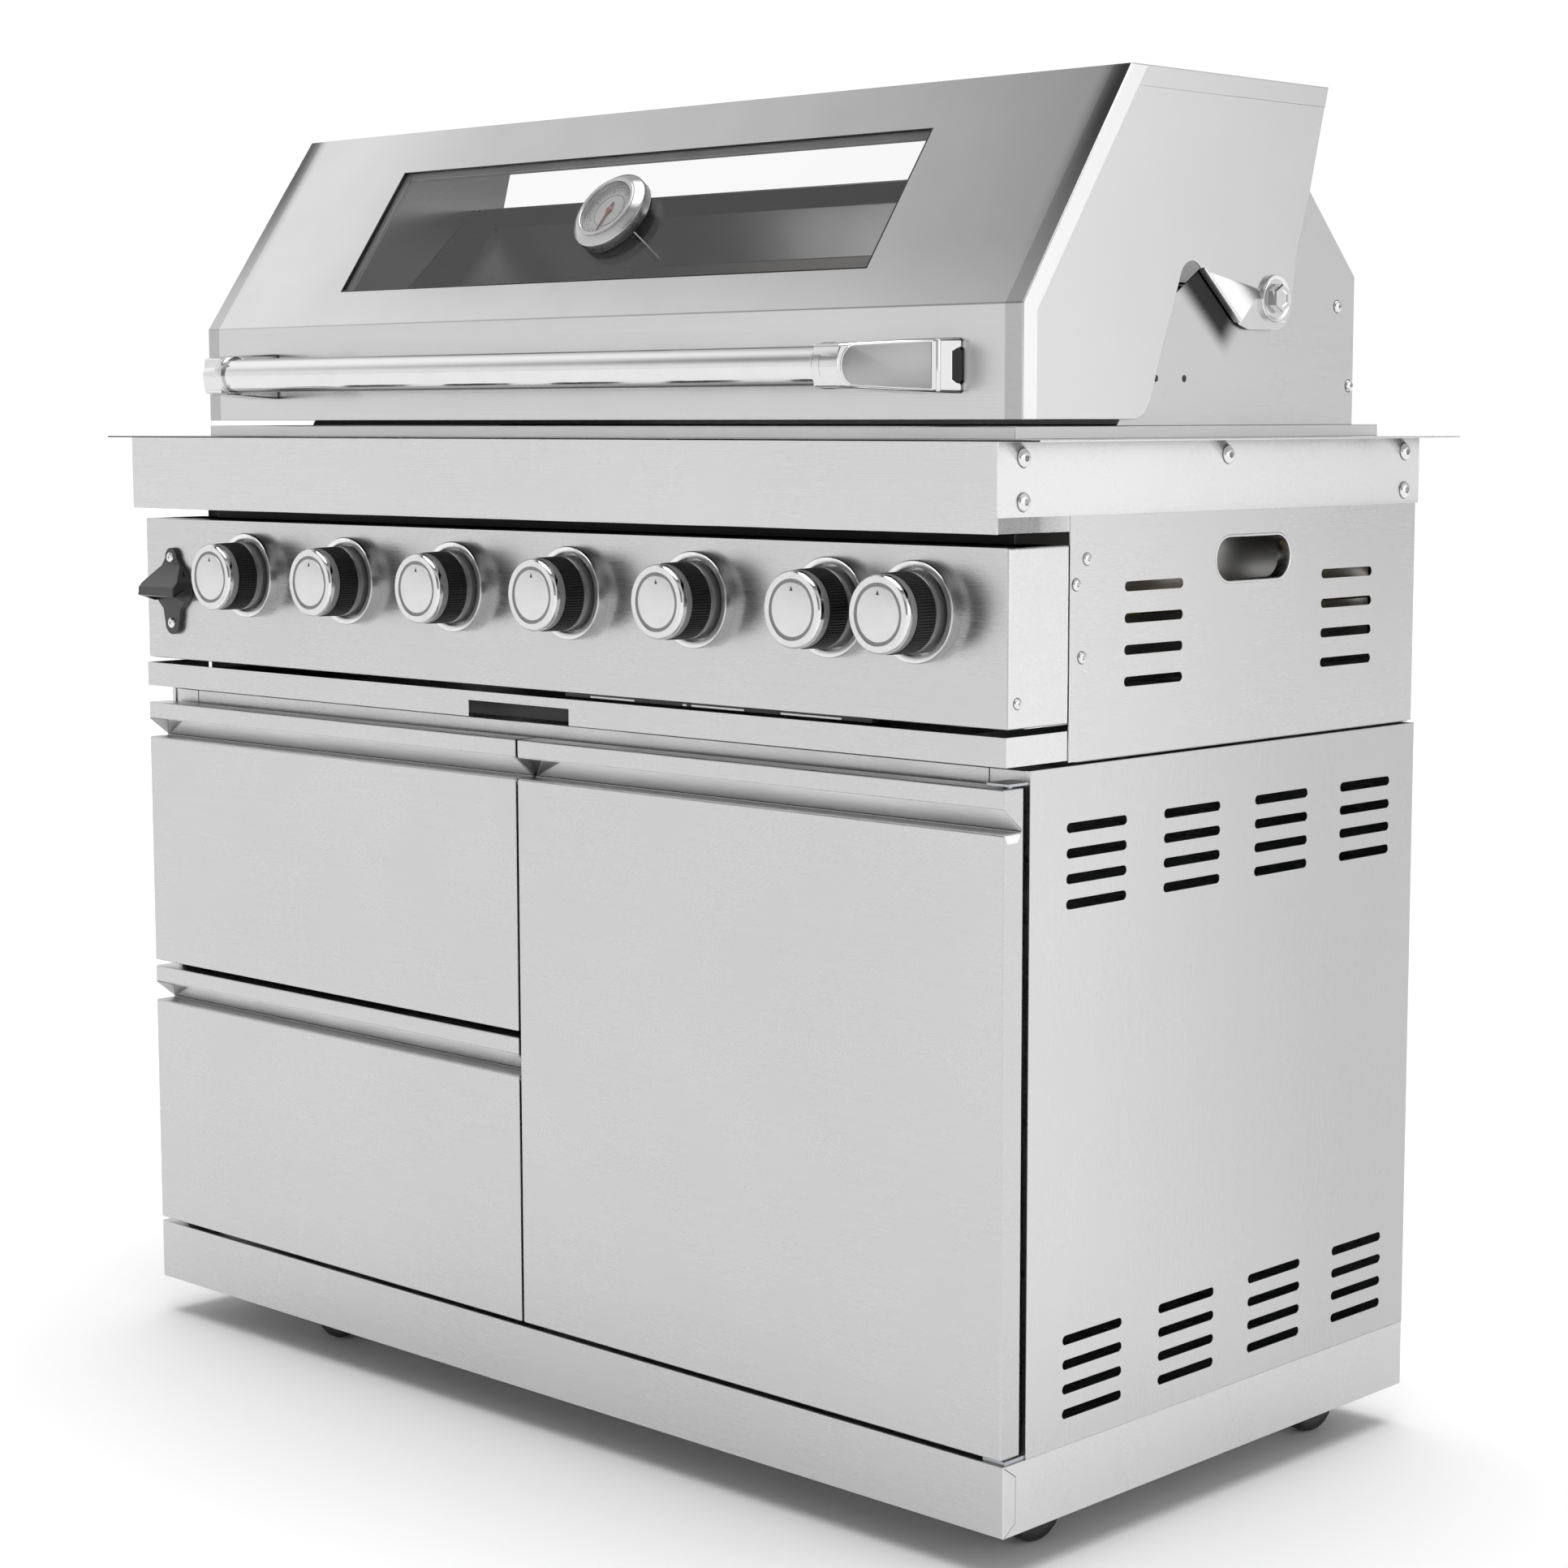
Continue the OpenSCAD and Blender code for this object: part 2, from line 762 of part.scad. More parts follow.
module trim_screws() {
    high = deck_top - 14.5;
    low = deck_top - 49.6;
    color("gainsboro") {
        both_sides() {
            for (p = [[17.3, high], [17.3, low], [291.5, high], [565, high], [565, low]])
                translate([half_w, depth(p[0]), p[1]])
                    dome_head(7.5);
            for (p = [[101, 166], [87, 145.5], [95, 85.5]])
                translate([body_in + sheet, depth(p[0]), head_bottom + p[1]])
                    dome_head(5);
            translate([half_w - 0.5, depth(11.8), panel_bottom + 21])
                dome_head(4.5);
            for (p = [[513, 101.5], [533.5, 30]])
                translate([548.5, depth(p[0]), lid_bottom + p[1]])
                    dome_head(5.5);
        }
        for (z = [opener_z - 34, opener_z + 34])
            translate([opener_x, front_y - opener_t, z])
                rotate([0, 0, -90])
                    dome_head(5.5);
    }
}

// ---------------------------------------------------------------- lid

// Middle line of the lid sheet from the front edge over the top, offset inwards by d.
function lid_sheet_outline(d) = [
    [lid_front + d, lid_bottom],
    [lid_front + d, lid_fold - d * tan((90 - slope_angle) / 2)],
    [lid_top_front + d * tan(slope_angle / 2), lid_top - d],
    [lid_top_back - 0.27 * d, lid_top - d]
];

function reverse(list) = [for (i = [len(list) - 1 : -1 : 0]) list[i]];

// Outline of an end panel: a lobe round the hinge, then an arched notch in the lower edge.
lid_end_outline = concat(
    [[lid_front, lid_bottom], [lid_front, lid_fold], [lid_top_front, lid_top], [lid_top_back, lid_top]],
    [[lid_top_back - 25, lid_bottom + 203], [hinge_y + 35, hinge_z + 41]],
    [for (a = [10 : -15 : -80]) [hinge_y + 2 + 28 * cos(a), hinge_z + 28 * sin(a)]],
    [[hinge_y - 36, hinge_z - 28], [hinge_y - 50, hinge_z - 24]],
    [for (a = [35 : 15 : 155]) [notch_y + 17 * cos(a), notch_z + 17 * sin(a)]],
    [[notch_y - 25, notch_z - 18], [notch_y - 44, notch_z - 64], [notch_y - 57, notch_z - 102],
     [notch_y - 66, notch_z - 114], [notch_y - 77, lid_bottom]]
);

// Places the children on the sloping front: X across, Y up the slope, Z outwards.
module on_slope() {
    translate([0, lid_front, lid_fold])
        rotate([slope_angle, 0, 0])
            children();
}

module lid_shell() {
    inner = lid_half_w - sheet;
    window_bottom = (slope_l - window_h) / 2 - 5.5;
    color("silver")
        difference() {
            union() {
                along_x(-inner, inner, concat(lid_sheet_outline(0), reverse(lid_sheet_outline(sheet))));
                both_sides() {
                    along_x(inner, lid_half_w, lid_end_outline);
                    along_x(lid_half_w, lid_half_w + 0.5,
                            concat(lid_sheet_outline(0), reverse(lid_sheet_outline(18))));
                    rod_x(inner, lid_half_w + 3, hinge_y, hinge_z, 21);
                }
            }
            on_slope()
                translate([-window_w / 2, window_bottom, -10])
                    cube([window_w, window_h, 20]);
            both_sides()
                rod_x(inner - 1, lid_half_w + 4, hinge_y, hinge_z, bolt_r + fit);
        }
}

window_mid = slope_l / 2 - 5.5;

// Inner frame that clamps the pane against the sheet.
module window_frame() {
    color("gray")
        on_slope()
            difference() {
                translate([-window_w / 2 - 18, window_mid - window_h / 2 - 18, -sheet - 8])
                    cube([window_w + 36, window_h + 36, 8]);
                translate([-window_w / 2 - 13, window_mid - window_h / 2 - 13, -sheet - 4.2])
                    cube([window_w + 26, window_h + 26, 5]);
                translate([-window_w / 2 + 6, window_mid - window_h / 2 + 6, -sheet - 10])
                    cube([window_w - 12, window_h - 12, 20]);
            }
}

module window_glass() {
    color([0.2, 0.22, 0.24, 0.5])
        on_slope()
            difference() {
                translate([-window_w / 2 - 12, window_mid - window_h / 2 - 12, -sheet - 4.1])
                    cube([window_w + 24, window_h + 24, 4]);
                translate([0, window_mid, -10])
                    cylinder(h = 20, r = 6.1);
            }
}

// Round case through the pane, with a nut and a probe inside.
module thermometer_case() {
    color("gainsboro")
        on_slope()
            translate([0, window_mid, 0]) {
                rotate_extrude()
                    polygon([[2 + fit, 5], [2 + fit, 8], [29, 8], [29.5, 15.5], [33.5, 15.5],
                             [41, 10], [42, 9], [42, -sheet], [0, -sheet], [0, 5]]);
                translate([0, 0, -12])
                    cylinder(h = 12, r = 6);
                translate([0, 0, -16])
                    cylinder(h = 10, r = 10, $fn = 6);
                translate([0, 0, -70])
                    cylinder(h = 60, r = 3);
            }
}

module thermometer_needle() {
    color("red")
        on_slope()
            translate([0, window_mid, 0]) {
                translate([0, 0, 7])
                    cylinder(h = 3.6, r = 2);
                translate([0, 0, 9])
                    cylinder(h = 1.4, r = 4);
                rotate([0, 0, 262])
                    translate([-9, -1, 9.2])
                        cube([33, 2, 0.8]);
            }
}

module handle_tube() {
    color("gainsboro")
        rod_x(-handle_arm_in - 20, handle_arm_in + 20, handle_y, handle_z, handle_d / 2);
}

// Cast bracket: a socket round the tube and an arm that widens towards the lid.
module handle_bracket() {
    r = handle_d / 2 + 2.5;
    face = lid_front;
    difference() {
        union() {
            rod_x(handle_arm_in, handle_arm_out, handle_y, handle_z, r);
            intersection() {
                translate([0, 0, handle_z - 25])
                    linear_extrude(50)
                        polygon([[handle_arm_in + 3, handle_y], [handle_arm_in + 3, handle_y - r + 2],
                                 [handle_arm_out, handle_y - r + 2],
                                 [handle_foot_out, face], [handle_foot_in, face]]);
                along_x(handle_arm_in, handle_foot_out + 1, [
                    [handle_y - r, handle_z - r + 2], [handle_y, handle_z - r], [face, handle_z - 23],
                    [face, handle_z + 23], [handle_y, handle_z + r], [handle_y - r, handle_z + r - 2]]);
            }
        }
        rod_x(handle_arm_in - 1, handle_arm_in + 20.2, handle_y, handle_z, handle_d / 2 + 0.05);
        along_x(handle_arm_out, handle_foot_out + 5, [
            [face - 7, handle_z - 11], [face + 1, handle_z - 15], [face + 1, handle_z + 15],
            [face - 7, handle_z + 11]]);
    }
}

module handle_brackets() {
    color("gainsboro")
        both_sides()
            handle_bracket();
}

// Pivot bolts of the lid: hexagon head outside, nut inside the housing's end plate.
module lid_hinge_bolts() {
    outer = lid_half_w + 3 + clear;
    color("gainsboro")
        both_sides() {
            rod_x(540, outer + 2, hinge_y, hinge_z, bolt_r);
            translate([outer, hinge_y, hinge_z])
                rotate([0, 90, 0])
                    cylinder(h = 7, r = 11, $fn = 6);
            translate([538, hinge_y, hinge_z])
                rotate([0, 90, 0])
                    cylinder(h = 8.5, r = 9, $fn = 6);
        }
}

// ---------------------------------------------------------------- drawing

plinth();
cabinet_floor();
cabinet_left_side();
cabinet_right_side();
cabinet_back();
cabinet_divider();
cabinet_top_rail();
door_hinge_pins();
drawer_runners();
caster_plates();
body_left_side();
body_right_side();
body_back();
control_panel();
trim_collar();
firebox();
gas_manifold();
gas_valves();
main_burners();
heat_tents();
cooking_grates();
warming_rack();
rear_housing();
rear_burner();
drip_rails();
knob_bezels();
igniter_housing();
bottle_opener();
trim_screws();
lid_hinge_bolts();
lid_shell();
window_frame();
window_glass();
handle_tube();
handle_brackets();
thermometer_case();
thermometer_needle();
knob(0);  // knob_1
knob(1);  // knob_2
knob(2);  // knob_3
knob(3);  // knob_4
knob(4);  // knob_5
knob(5);  // knob_6
knob(6);  // rear_burner_knob
igniter_button();
upper_drawer_front();
upper_drawer_box();
lower_drawer_front();
lower_drawer_box();
cabinet_door();
drip_drawer_front();
drip_tray();
caster_fork(0);  // caster_fork_1
caster_fork(1);  // caster_fork_2
caster_fork(2);  // caster_fork_3
caster_fork(3);  // caster_fork_4
caster_wheel(0);  // caster_wheel_1
caster_wheel(1);  // caster_wheel_2
caster_wheel(2);  // caster_wheel_3
caster_wheel(3);  // caster_wheel_4
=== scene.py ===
"""Looks of a free-standing stainless-steel gas barbecue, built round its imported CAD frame.

Lengths in this script are millimetres unless a name ends in _m; meshes are scaled to metres when they are made.
Patterns and bands inside materials are in metres.
"""
import json
import math

import bmesh
import bpy
from mathutils import Matrix, Vector


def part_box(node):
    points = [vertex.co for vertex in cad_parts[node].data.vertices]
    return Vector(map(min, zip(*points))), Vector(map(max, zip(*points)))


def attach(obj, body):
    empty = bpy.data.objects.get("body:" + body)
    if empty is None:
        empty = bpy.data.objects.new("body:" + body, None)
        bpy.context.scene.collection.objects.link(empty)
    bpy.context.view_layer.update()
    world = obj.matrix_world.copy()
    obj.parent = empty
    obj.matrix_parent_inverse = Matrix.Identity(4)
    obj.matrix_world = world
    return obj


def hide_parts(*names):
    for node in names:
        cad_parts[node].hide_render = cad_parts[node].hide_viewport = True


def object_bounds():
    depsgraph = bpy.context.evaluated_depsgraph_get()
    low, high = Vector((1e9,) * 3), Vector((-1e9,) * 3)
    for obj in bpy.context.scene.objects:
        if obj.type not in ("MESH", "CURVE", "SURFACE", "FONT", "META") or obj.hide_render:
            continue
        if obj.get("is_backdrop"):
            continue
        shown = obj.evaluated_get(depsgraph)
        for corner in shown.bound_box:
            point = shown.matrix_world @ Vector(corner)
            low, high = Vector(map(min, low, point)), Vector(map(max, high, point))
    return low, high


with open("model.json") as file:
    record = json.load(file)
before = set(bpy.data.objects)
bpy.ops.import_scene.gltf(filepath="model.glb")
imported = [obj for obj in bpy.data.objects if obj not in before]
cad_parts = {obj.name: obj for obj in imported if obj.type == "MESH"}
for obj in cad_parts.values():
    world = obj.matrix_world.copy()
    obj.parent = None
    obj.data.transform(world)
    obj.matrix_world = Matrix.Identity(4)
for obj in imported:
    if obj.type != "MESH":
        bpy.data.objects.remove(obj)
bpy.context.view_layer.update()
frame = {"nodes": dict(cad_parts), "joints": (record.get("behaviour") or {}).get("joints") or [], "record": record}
scene = bpy.context.scene

MM = 0.001
SIDES = ((-1, "-x", "l"), (1, "+x", "r"))
BODIES = frame["record"]["behaviour"]["bodies"]
BODY_OF = {node: body for body, nodes in BODIES.items() for node in nodes}


def span(node):
    """Lowest and highest corner of a CAD node, in millimetres."""
    low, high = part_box(node)
    return low / MM, high / MM


# ------------------------------------------------------------------ shader nodes

def add_node(tree, kind, inputs, output, **settings):
    """Adds a shader node, fills its inputs with plain values or other outputs, and returns one output."""
    node = tree.nodes.new("ShaderNode" + kind)
    for key, value in settings.items():
        setattr(node, key, value)
    for key, value in inputs.items():
        if isinstance(value, bpy.types.NodeSocket):
            tree.links.new(value, node.inputs[key])
        else:
            node.inputs[key].default_value = value
    return node.outputs[output]


def new_material(name, metallic=0.0):
    mat = bpy.data.materials.new(name)
    mat.use_nodes = True
    shader = mat.node_tree.nodes["Principled BSDF"]
    shader.inputs["Metallic"].default_value = metallic
    return mat, mat.node_tree, shader


def grey(value):
    return (value, value, value)


def noise(tree, scale, detail=2.0, stretch=(1, 1, 1), roughness=0.5):
    """A noise pattern in object space, stretched along chosen axes."""
    coord = add_node(tree, "TexCoord", {}, "Object")
    mapped = add_node(tree, "Mapping", {"Vector": coord, "Scale": stretch}, "Vector")
    return add_node(tree, "TexNoise", {"Vector": mapped, "Scale": scale, "Detail": detail,
                                       "Roughness": roughness}, "Fac")


def remap(tree, value, low, high, source=(0.3, 0.7), curve="LINEAR"):
    return add_node(tree, "MapRange", {"Value": value, "From Min": source[0], "From Max": source[1],
                                       "To Min": low, "To Max": high}, "Result", interpolation_type=curve)


def ramp(tree, value, low, high, source=(0.3, 0.7)):
    """Colours that run from low to high with a value."""
    node = tree.nodes.new("ShaderNodeValToRGB")
    for element, position, colour in zip(node.color_ramp.elements, source, (low, high)):
        element.position = position
        element.color = (*colour, 1)
    tree.links.new(value, node.inputs["Fac"])
    return node.outputs["Color"]


def multiply(tree, colour, other, factor=1.0):
    return add_node(tree, "Mix", {"Factor": factor, "A": colour, "B": other}, "Result",
                    data_type="RGBA", blend_type="MULTIPLY")


def finish(tree, shader, colour, gloss, height=None, strength=0.0, distance_m=0.0):
    """Feeds a shader its colour and roughness, and a bump where there is a height."""
    tree.links.new(colour, shader.inputs["Base Color"])
    tree.links.new(gloss, shader.inputs["Roughness"])
    if height is not None:
        normal = add_node(tree, "Bump", {"Height": height, "Strength": strength,
                                         "Distance": distance_m}, "Normal")
        tree.links.new(normal, shader.inputs["Normal"])


# ------------------------------------------------------------------ kinds of surface

def steel(name, shade, rough, grain="x", spread=0.03, tint=(1, 1, 1), depth=0.05):
    """Brushed sheet: long fine scratches along one axis, with a slow drift in tone and gloss."""
    mat, tree, shader = new_material(name, 1.0)
    across, along = 1.0, 0.004
    stretch = [along if axis == grain else across for axis in "xyz"]
    fine = noise(tree, 1400, 3, stretch)
    drift = noise(tree, 3.0)
    smear = noise(tree, 14.0, 4, (1, 1, 1), 0.6)
    tone = ramp(tree, drift, [shade * 0.98 * t for t in tint], [min(1.0, shade * 1.015) * t for t in tint])
    scratch = ramp(tree, fine, grey(0.975), grey(1.008), (0.25, 0.75))
    gloss = add_node(tree, "Math", {0: remap(tree, fine, rough - spread, rough + spread, (0.2, 0.8)),
                                    1: remap(tree, smear, -0.025, 0.03)}, "Value", operation="ADD")
    finish(tree, shader, multiply(tree, tone, scratch), gloss, fine, depth, 0.0003)
    return mat


def polished(name, shade, rough, tint=(1, 1, 1), smears=0.05):
    """Polished metal with faint smears and hairline wear."""
    mat, tree, shader = new_material(name, 1.0)
    smear = noise(tree, 40.0, 5, (1, 1, 1), 0.65)
    hair = noise(tree, 900.0, 2, (0.05, 1, 1))
    colour = ramp(tree, smear, [shade * (1 - smears) * t for t in tint], [shade * t for t in tint])
    finish(tree, shader, colour, remap(tree, smear, rough * (1 - 8 * smears), rough * (1 + 12 * smears)),
           hair, 0.03, 0.0002)
    return mat


def turned(name, shade, rough):
    """Lathe-turned metal: fine rings about the piece's own Z axis."""
    mat, tree, shader = new_material(name, 1.0)
    coord = add_node(tree, "TexCoord", {}, "Object")
    flat = add_node(tree, "VectorMath", {0: coord, 1: (1, 1, 0)}, "Vector", operation="MULTIPLY")
    radius = add_node(tree, "VectorMath", {0: flat}, "Value", operation="LENGTH")
    rings = add_node(tree, "TexNoise", {"W": radius, "Scale": 2600, "Detail": 2}, "Fac", noise_dimensions="1D")
    smear = noise(tree, 60.0, 4)
    finish(tree, shader, ramp(tree, rings, grey(shade * 0.9), grey(shade)),
           remap(tree, smear, rough * 0.8, rough * 1.25), rings, 0.12, 0.0002)
    return mat


def plain(name, low, high, rough, metallic=0.0, scale=120.0, depth=0.1, grain_m=0.0003, coat=0.0):
    """Cast, moulded, enamelled or rubber surface: mottled colour, uneven gloss and a fine grain."""
    mat, tree, shader = new_material(name, metallic)
    shader.inputs["Coat Weight"].default_value = coat
    blotch = noise(tree, scale * 0.15, 4, (1, 1, 1), 0.6)
    pores = noise(tree, scale * 12, 3)
    finish(tree, shader, ramp(tree, blotch, low, high),
           remap(tree, blotch, rough * 0.85, min(1.0, rough * 1.15)), pores, depth, grain_m)
    return mat


def glass(name, tint, cover, rough):
    """Thin pane: a clear sheet with a faint mirror coat over it, and wiped-dry smears in the coat."""
    mat, tree, shader = new_material(name, 1.0)
    shader.inputs["Alpha"].default_value = cover
    smear = noise(tree, 9.0, 4, (1, 1, 1), 0.6)
    finish(tree, shader, ramp(tree, smear, [t * 0.9 for t in tint], tint),
           remap(tree, smear, rough * 0.6, rough * 1.8))
    return mat


def darken(mat, shade, *bands):
    """Multiplies a material's colour by a shade where every band is 1.

    A band rises smoothly from 0 to 1 between two distances along a direction of the object. "both" mirrors it
    about the middle, and "falling" turns it round.
    """
    tree = mat.node_tree
    shader = tree.nodes["Principled BSDF"]
    coord = add_node(tree, "TexCoord", {}, "Object")
    mask = 1.0
    for toward, low, high, *kind in bands:
        value = add_node(tree, "VectorMath", {0: coord, 1: toward}, "Value", operation="DOT_PRODUCT")
        if "both" in kind:
            value = add_node(tree, "Math", {0: value}, "Value", operation="ABSOLUTE")
        value = remap(tree, value, 0, 1, (low, high), "SMOOTHSTEP")
        if "falling" in kind:
            value = add_node(tree, "Math", {0: 1.0, 1: value}, "Value", operation="SUBTRACT")
        mask = add_node(tree, "Math", {0: mask, 1: value}, "Value", operation="MULTIPLY")
    colour = shader.inputs["Base Color"].links[0].from_socket
    tree.links.new(multiply(tree, colour, (*shade, 1), mask), shader.inputs["Base Color"])


# ------------------------------------------------------------------ materials

STEEL_X = steel("brushed_steel_across", 0.565, 0.28, "x")
STEEL_Y = steel("brushed_steel_side", 0.60, 0.28, "y")
STEEL_Z = steel("brushed_steel_upright", 0.60, 0.26, "z")
LID = steel("brushed_lid", 0.60, 0.20, "x")
HOUSING = steel("brushed_housing", 0.54, 0.30, "y")
COLLAR = steel("brushed_collar", 0.62, 0.26, "x")
FIREBOX = steel("fire_box", 0.60, 0.34, "x")
SATIN = steel("satin_inlay", 0.42, 0.38, "y", 0.04)
ZINC = steel("zinc_sheet", 0.50, 0.40, "y", 0.05, (0.98, 1.0, 1.03))
HEAT = steel("heat_darkened_steel", 0.30, 0.42, "x", 0.06, (1.0, 0.96, 0.9), 0.08)
# Painted shade for the dark triangle at the left end of each finger pull.
SHADED_FLAP = steel("flap_painted_shade", 0.20, 0.25, "x", 0.04, (1, 1, 1), 0.04)
PULL_FOOT = steel("pull_foot", 0.60, 0.40, "x")
CHROME = polished("chrome", 0.74, 0.08)
SATIN_CHROME = polished("satin_chrome", 0.66, 0.24)
BRASS = polished("brass_fittings", 0.80, 0.28, (0.88, 0.68, 0.34))
EDGE = polished("polished_edge", 0.86, 0.30, (1, 1, 1), 0.01)
TUBE = polished("handle_chrome", 0.72, 0.10)
ARM = polished("bracket_chrome", 0.70, 0.12)
SLEEVE = polished("sleeve_chrome", 0.70, 0.16)
BEZEL_SIDE = polished("bezel_side", 0.50, 0.16)
BEZEL_FACE = turned("bezel_face", 0.86, 0.30)
TURNED = turned("turned_bezel", 0.50, 0.24)
DISC = turned("turned_disc", 0.70, 0.34)
DISC_RIM = turned("knob_rim", 0.72, 0.30)
CAST = plain("black_casting", (0.012, 0.012, 0.013), (0.028, 0.028, 0.03), 0.36, 0.0, 60, 0.35, 0.0004, 0.15)
IRON = plain("enamelled_iron", (0.018, 0.018, 0.019), (0.04, 0.039, 0.038), 0.5, 0.0, 90, 0.5, 0.0005, 0.1)
GRIP = plain("black_grip", grey(0.006), grey(0.012), 0.48, 0.0, 200, 0.15, 0.0001)
SMOKED = plain("smoked_ring", (0.12, 0.12, 0.122), (0.17, 0.17, 0.172), 0.25, 0.3, 80, 0.05, 0.0001, 0.3)
GREY = plain("grey_ring", (0.21, 0.21, 0.212), (0.25, 0.25, 0.252), 0.4, 0.3, 150, 0.1, 0.0001)
SHADOW = plain("painted_screw_shadow", grey(0.09), grey(0.13), 0.5, 0.4, 150, 0.1, 0.0001)
RUBBER = plain("caster_rubber", grey(0.010), grey(0.022), 0.55, 0.0, 120, 0.3)
GASKET = plain("black_gasket", grey(0.010), grey(0.02), 0.5, 0.0, 150, 0.2, 0.0002)
DIAL = plain("dial_face", grey(0.36), grey(0.42), 0.35, 0.2, 90, 0.03, 0.0001)
RED = plain("needle_paint", (0.10, 0.02, 0.02), (0.16, 0.03, 0.03), 0.35, 0.0, 150, 0.05, 0.0001, 0.4)
INK = plain("dark_ink", grey(0.02), grey(0.035), 0.5, 0.0, 200, 0.05, 0.0001)
# Painted highlight for the glints in the gap under the control panel.
GLINT = plain("glint_paint", grey(0.80), grey(0.88), 0.4, 0.0, 100, 0.05)
FRAME = plain("window_frame_sheet", grey(0.26), grey(0.33), 0.42, 0.3, 60, 0.1, 0.0002)
PULL = plain("satin_pull", grey(0.74), grey(0.80), 0.42, 0.25, 60, 0.08, 0.0002)
PANE = glass("smoked_pane", (0.50, 0.50, 0.51), 0.07, 0.02)
LENS = glass("clear_lens", grey(0.8), 0.06, 0.02)

X, Y, Z = (1, 0, 0), (0, 1, 0), (0, 0, 1)

# The right and left faces of the folded fronts catch more light than their fronts, most of all near the front.
for mat, start, front, rear in (
        (STEEL_X, 0.5888, 1.26, 0.99), (COLLAR, 0.5888, 1.22, 1.0), (STEEL_Z, 0.5870, 1.03, 0.78),
        (STEEL_Y, 0.5850, 1.09, 0.88), (LID, 0.5520, 1.16, 1.12), (HOUSING, 0.5465, 1.10, 1.06)):
    end = (X, start, start + 0.0006, "both")
    darken(mat, grey(front), end, (Y, -0.29, 0.28, "falling"))
    darken(mat, grey(rear), end, (Y, -0.29, 0.28))

# Painted shade under the arch of the lid hinge, on the plate the lid swings past: a dark patch in place of the
# arch's shadow and dark reflection.
darken(HOUSING, grey(0.05), ((0, 0.637, 0.770), 0.8196, 0.8386), ((0, -0.770, 0.637), 0.5804, 0.6064),
       (X, 0.540, 0.545, "both"))
# Painted reflections on the lid's slope: darker bands along its ends, most of all near the top, and a darker patch
# on its left half.
slope_only = (X, 0.5520, 0.5528, "both", "falling")
darken(LID, grey(0.16), (X, 0.520, 0.548, "both"), slope_only, (Z, 1.05, 1.223))
darken(LID, grey(0.74), (X, 0.5335, 0.5355, "both"), slope_only)
darken(LID, grey(0.80), (X, -0.46, -0.20), (Z, 1.033, 1.113), slope_only)
# Heat colours inside the fire box; its rim stays bright.
darken(FIREBOX, (0.45, 0.42, 0.38), (Z, 0.9450, 0.9485, "falling"), (X, 0.5440, 0.5455, "both", "falling"),
       (Y, -0.2070, -0.2060))
# Painted shade: the fire box's front wall is near black below its rim, where it shows in the gap above the control
# panel.
darken(FIREBOX, grey(0.03), (Z, 0.9310, 0.9370, "falling"), (Y, -0.2070, -0.2060, "falling"))
# Painted shade: dark lines along the upper and lower edges of the handle tube and its collars, in place of dark
# reflections.
darken(TUBE, grey(0.22), (X, 0.0142, 0.0160, "both"))
darken(SLEEVE, grey(0.22), (X, 0.0166, 0.0186, "both"))


# ------------------------------------------------------------------ mesh tools

def to_mesh(name, bm):
    """Turns a bmesh in millimetres into a mesh in metres."""
    bmesh.ops.recalc_face_normals(bm, faces=bm.faces)
    mesh = bpy.data.meshes.new(name)
    bm.to_mesh(mesh)
    bm.free()
    mesh.transform(Matrix.Scale(MM, 4))
    return mesh


def add_mesh(name, mesh, mat, body, replaces=(), place=None, smooth=35.0):
    """Makes a mesh a piece that rides on a body."""
    for polygon in mesh.polygons:
        polygon.use_smooth = True
    mesh.set_sharp_from_angle(angle=math.radians(smooth))
    if not mesh.materials:
        mesh.materials.append(mat)
    obj = bpy.data.objects.new(name, mesh)
    scene.collection.objects.link(obj)
    if place is not None:
        obj.matrix_world = place
    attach(obj, body)
    if replaces:
        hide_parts(*replaces)
    return obj


def add_object(name, bm, mat, body, replaces=(), place=None, smooth=35.0):
    return add_mesh(name, to_mesh(name, bm), mat, body, replaces, place, smooth)


def at(x, y, z):
    return Matrix.Translation(Vector((x, y, z)) * MM)


def facing(x, y, z, axis):
    """A place whose local +Z points along a main axis."""
    degrees, about = {"-y": (90, "X"), "+x": (90, "Y"), "-x": (-90, "Y"), "+y": (-90, "X")}[axis]
    return at(x, y, z) @ Matrix.Rotation(math.radians(degrees), 4, about)


def block(bm, x0, x1, y0, y1, z0, z1, soft=0.0, segments=2):
    """A box between two corners, with its edges rounded by soft."""
    verts = bmesh.ops.create_cube(bm, size=1.0)["verts"]
    for v in verts:
        v.co = Vector((x0 if v.co.x < 0 else x1, y0 if v.co.y < 0 else y1, z0 if v.co.z < 0 else z1))
    if soft > 0:
        edges = list({e for v in verts for e in v.link_edges})
        bmesh.ops.bevel(bm, geom=edges, offset=soft, segments=segments, profile=0.5, affect="EDGES")


def loft(bm, lower, upper):
    """A solid between two outlines of equally many points."""
    first, last = ([bm.verts.new(point) for point in outline] for outline in (lower, upper))
    faces = [bm.faces.new(first), bm.faces.new(list(reversed(last)))]
    for i in range(len(first)):
        j = (i + 1) % len(first)
        faces.append(bm.faces.new((first[j], first[i], last[i], last[j])))
    return faces


def prism(bm, outline, low, high, axis="x", soft=0.0, segments=2):
    """An outline drawn out along an axis. Outline points are (y, z) along x and (x, y) along z."""
    faces = loft(bm, *([(end, a, b) if axis == "x" else (a, b, end) for a, b in outline] for end in (low, high)))
    bmesh.ops.recalc_face_normals(bm, faces=faces)
    if soft > 0:
        edges = [e for e in {e for f in faces for e in f.edges} if e.calc_face_angle(0) > math.radians(25)]
        bmesh.ops.bevel(bm, geom=edges, offset=soft, segments=segments, profile=0.5, affect="EDGES")


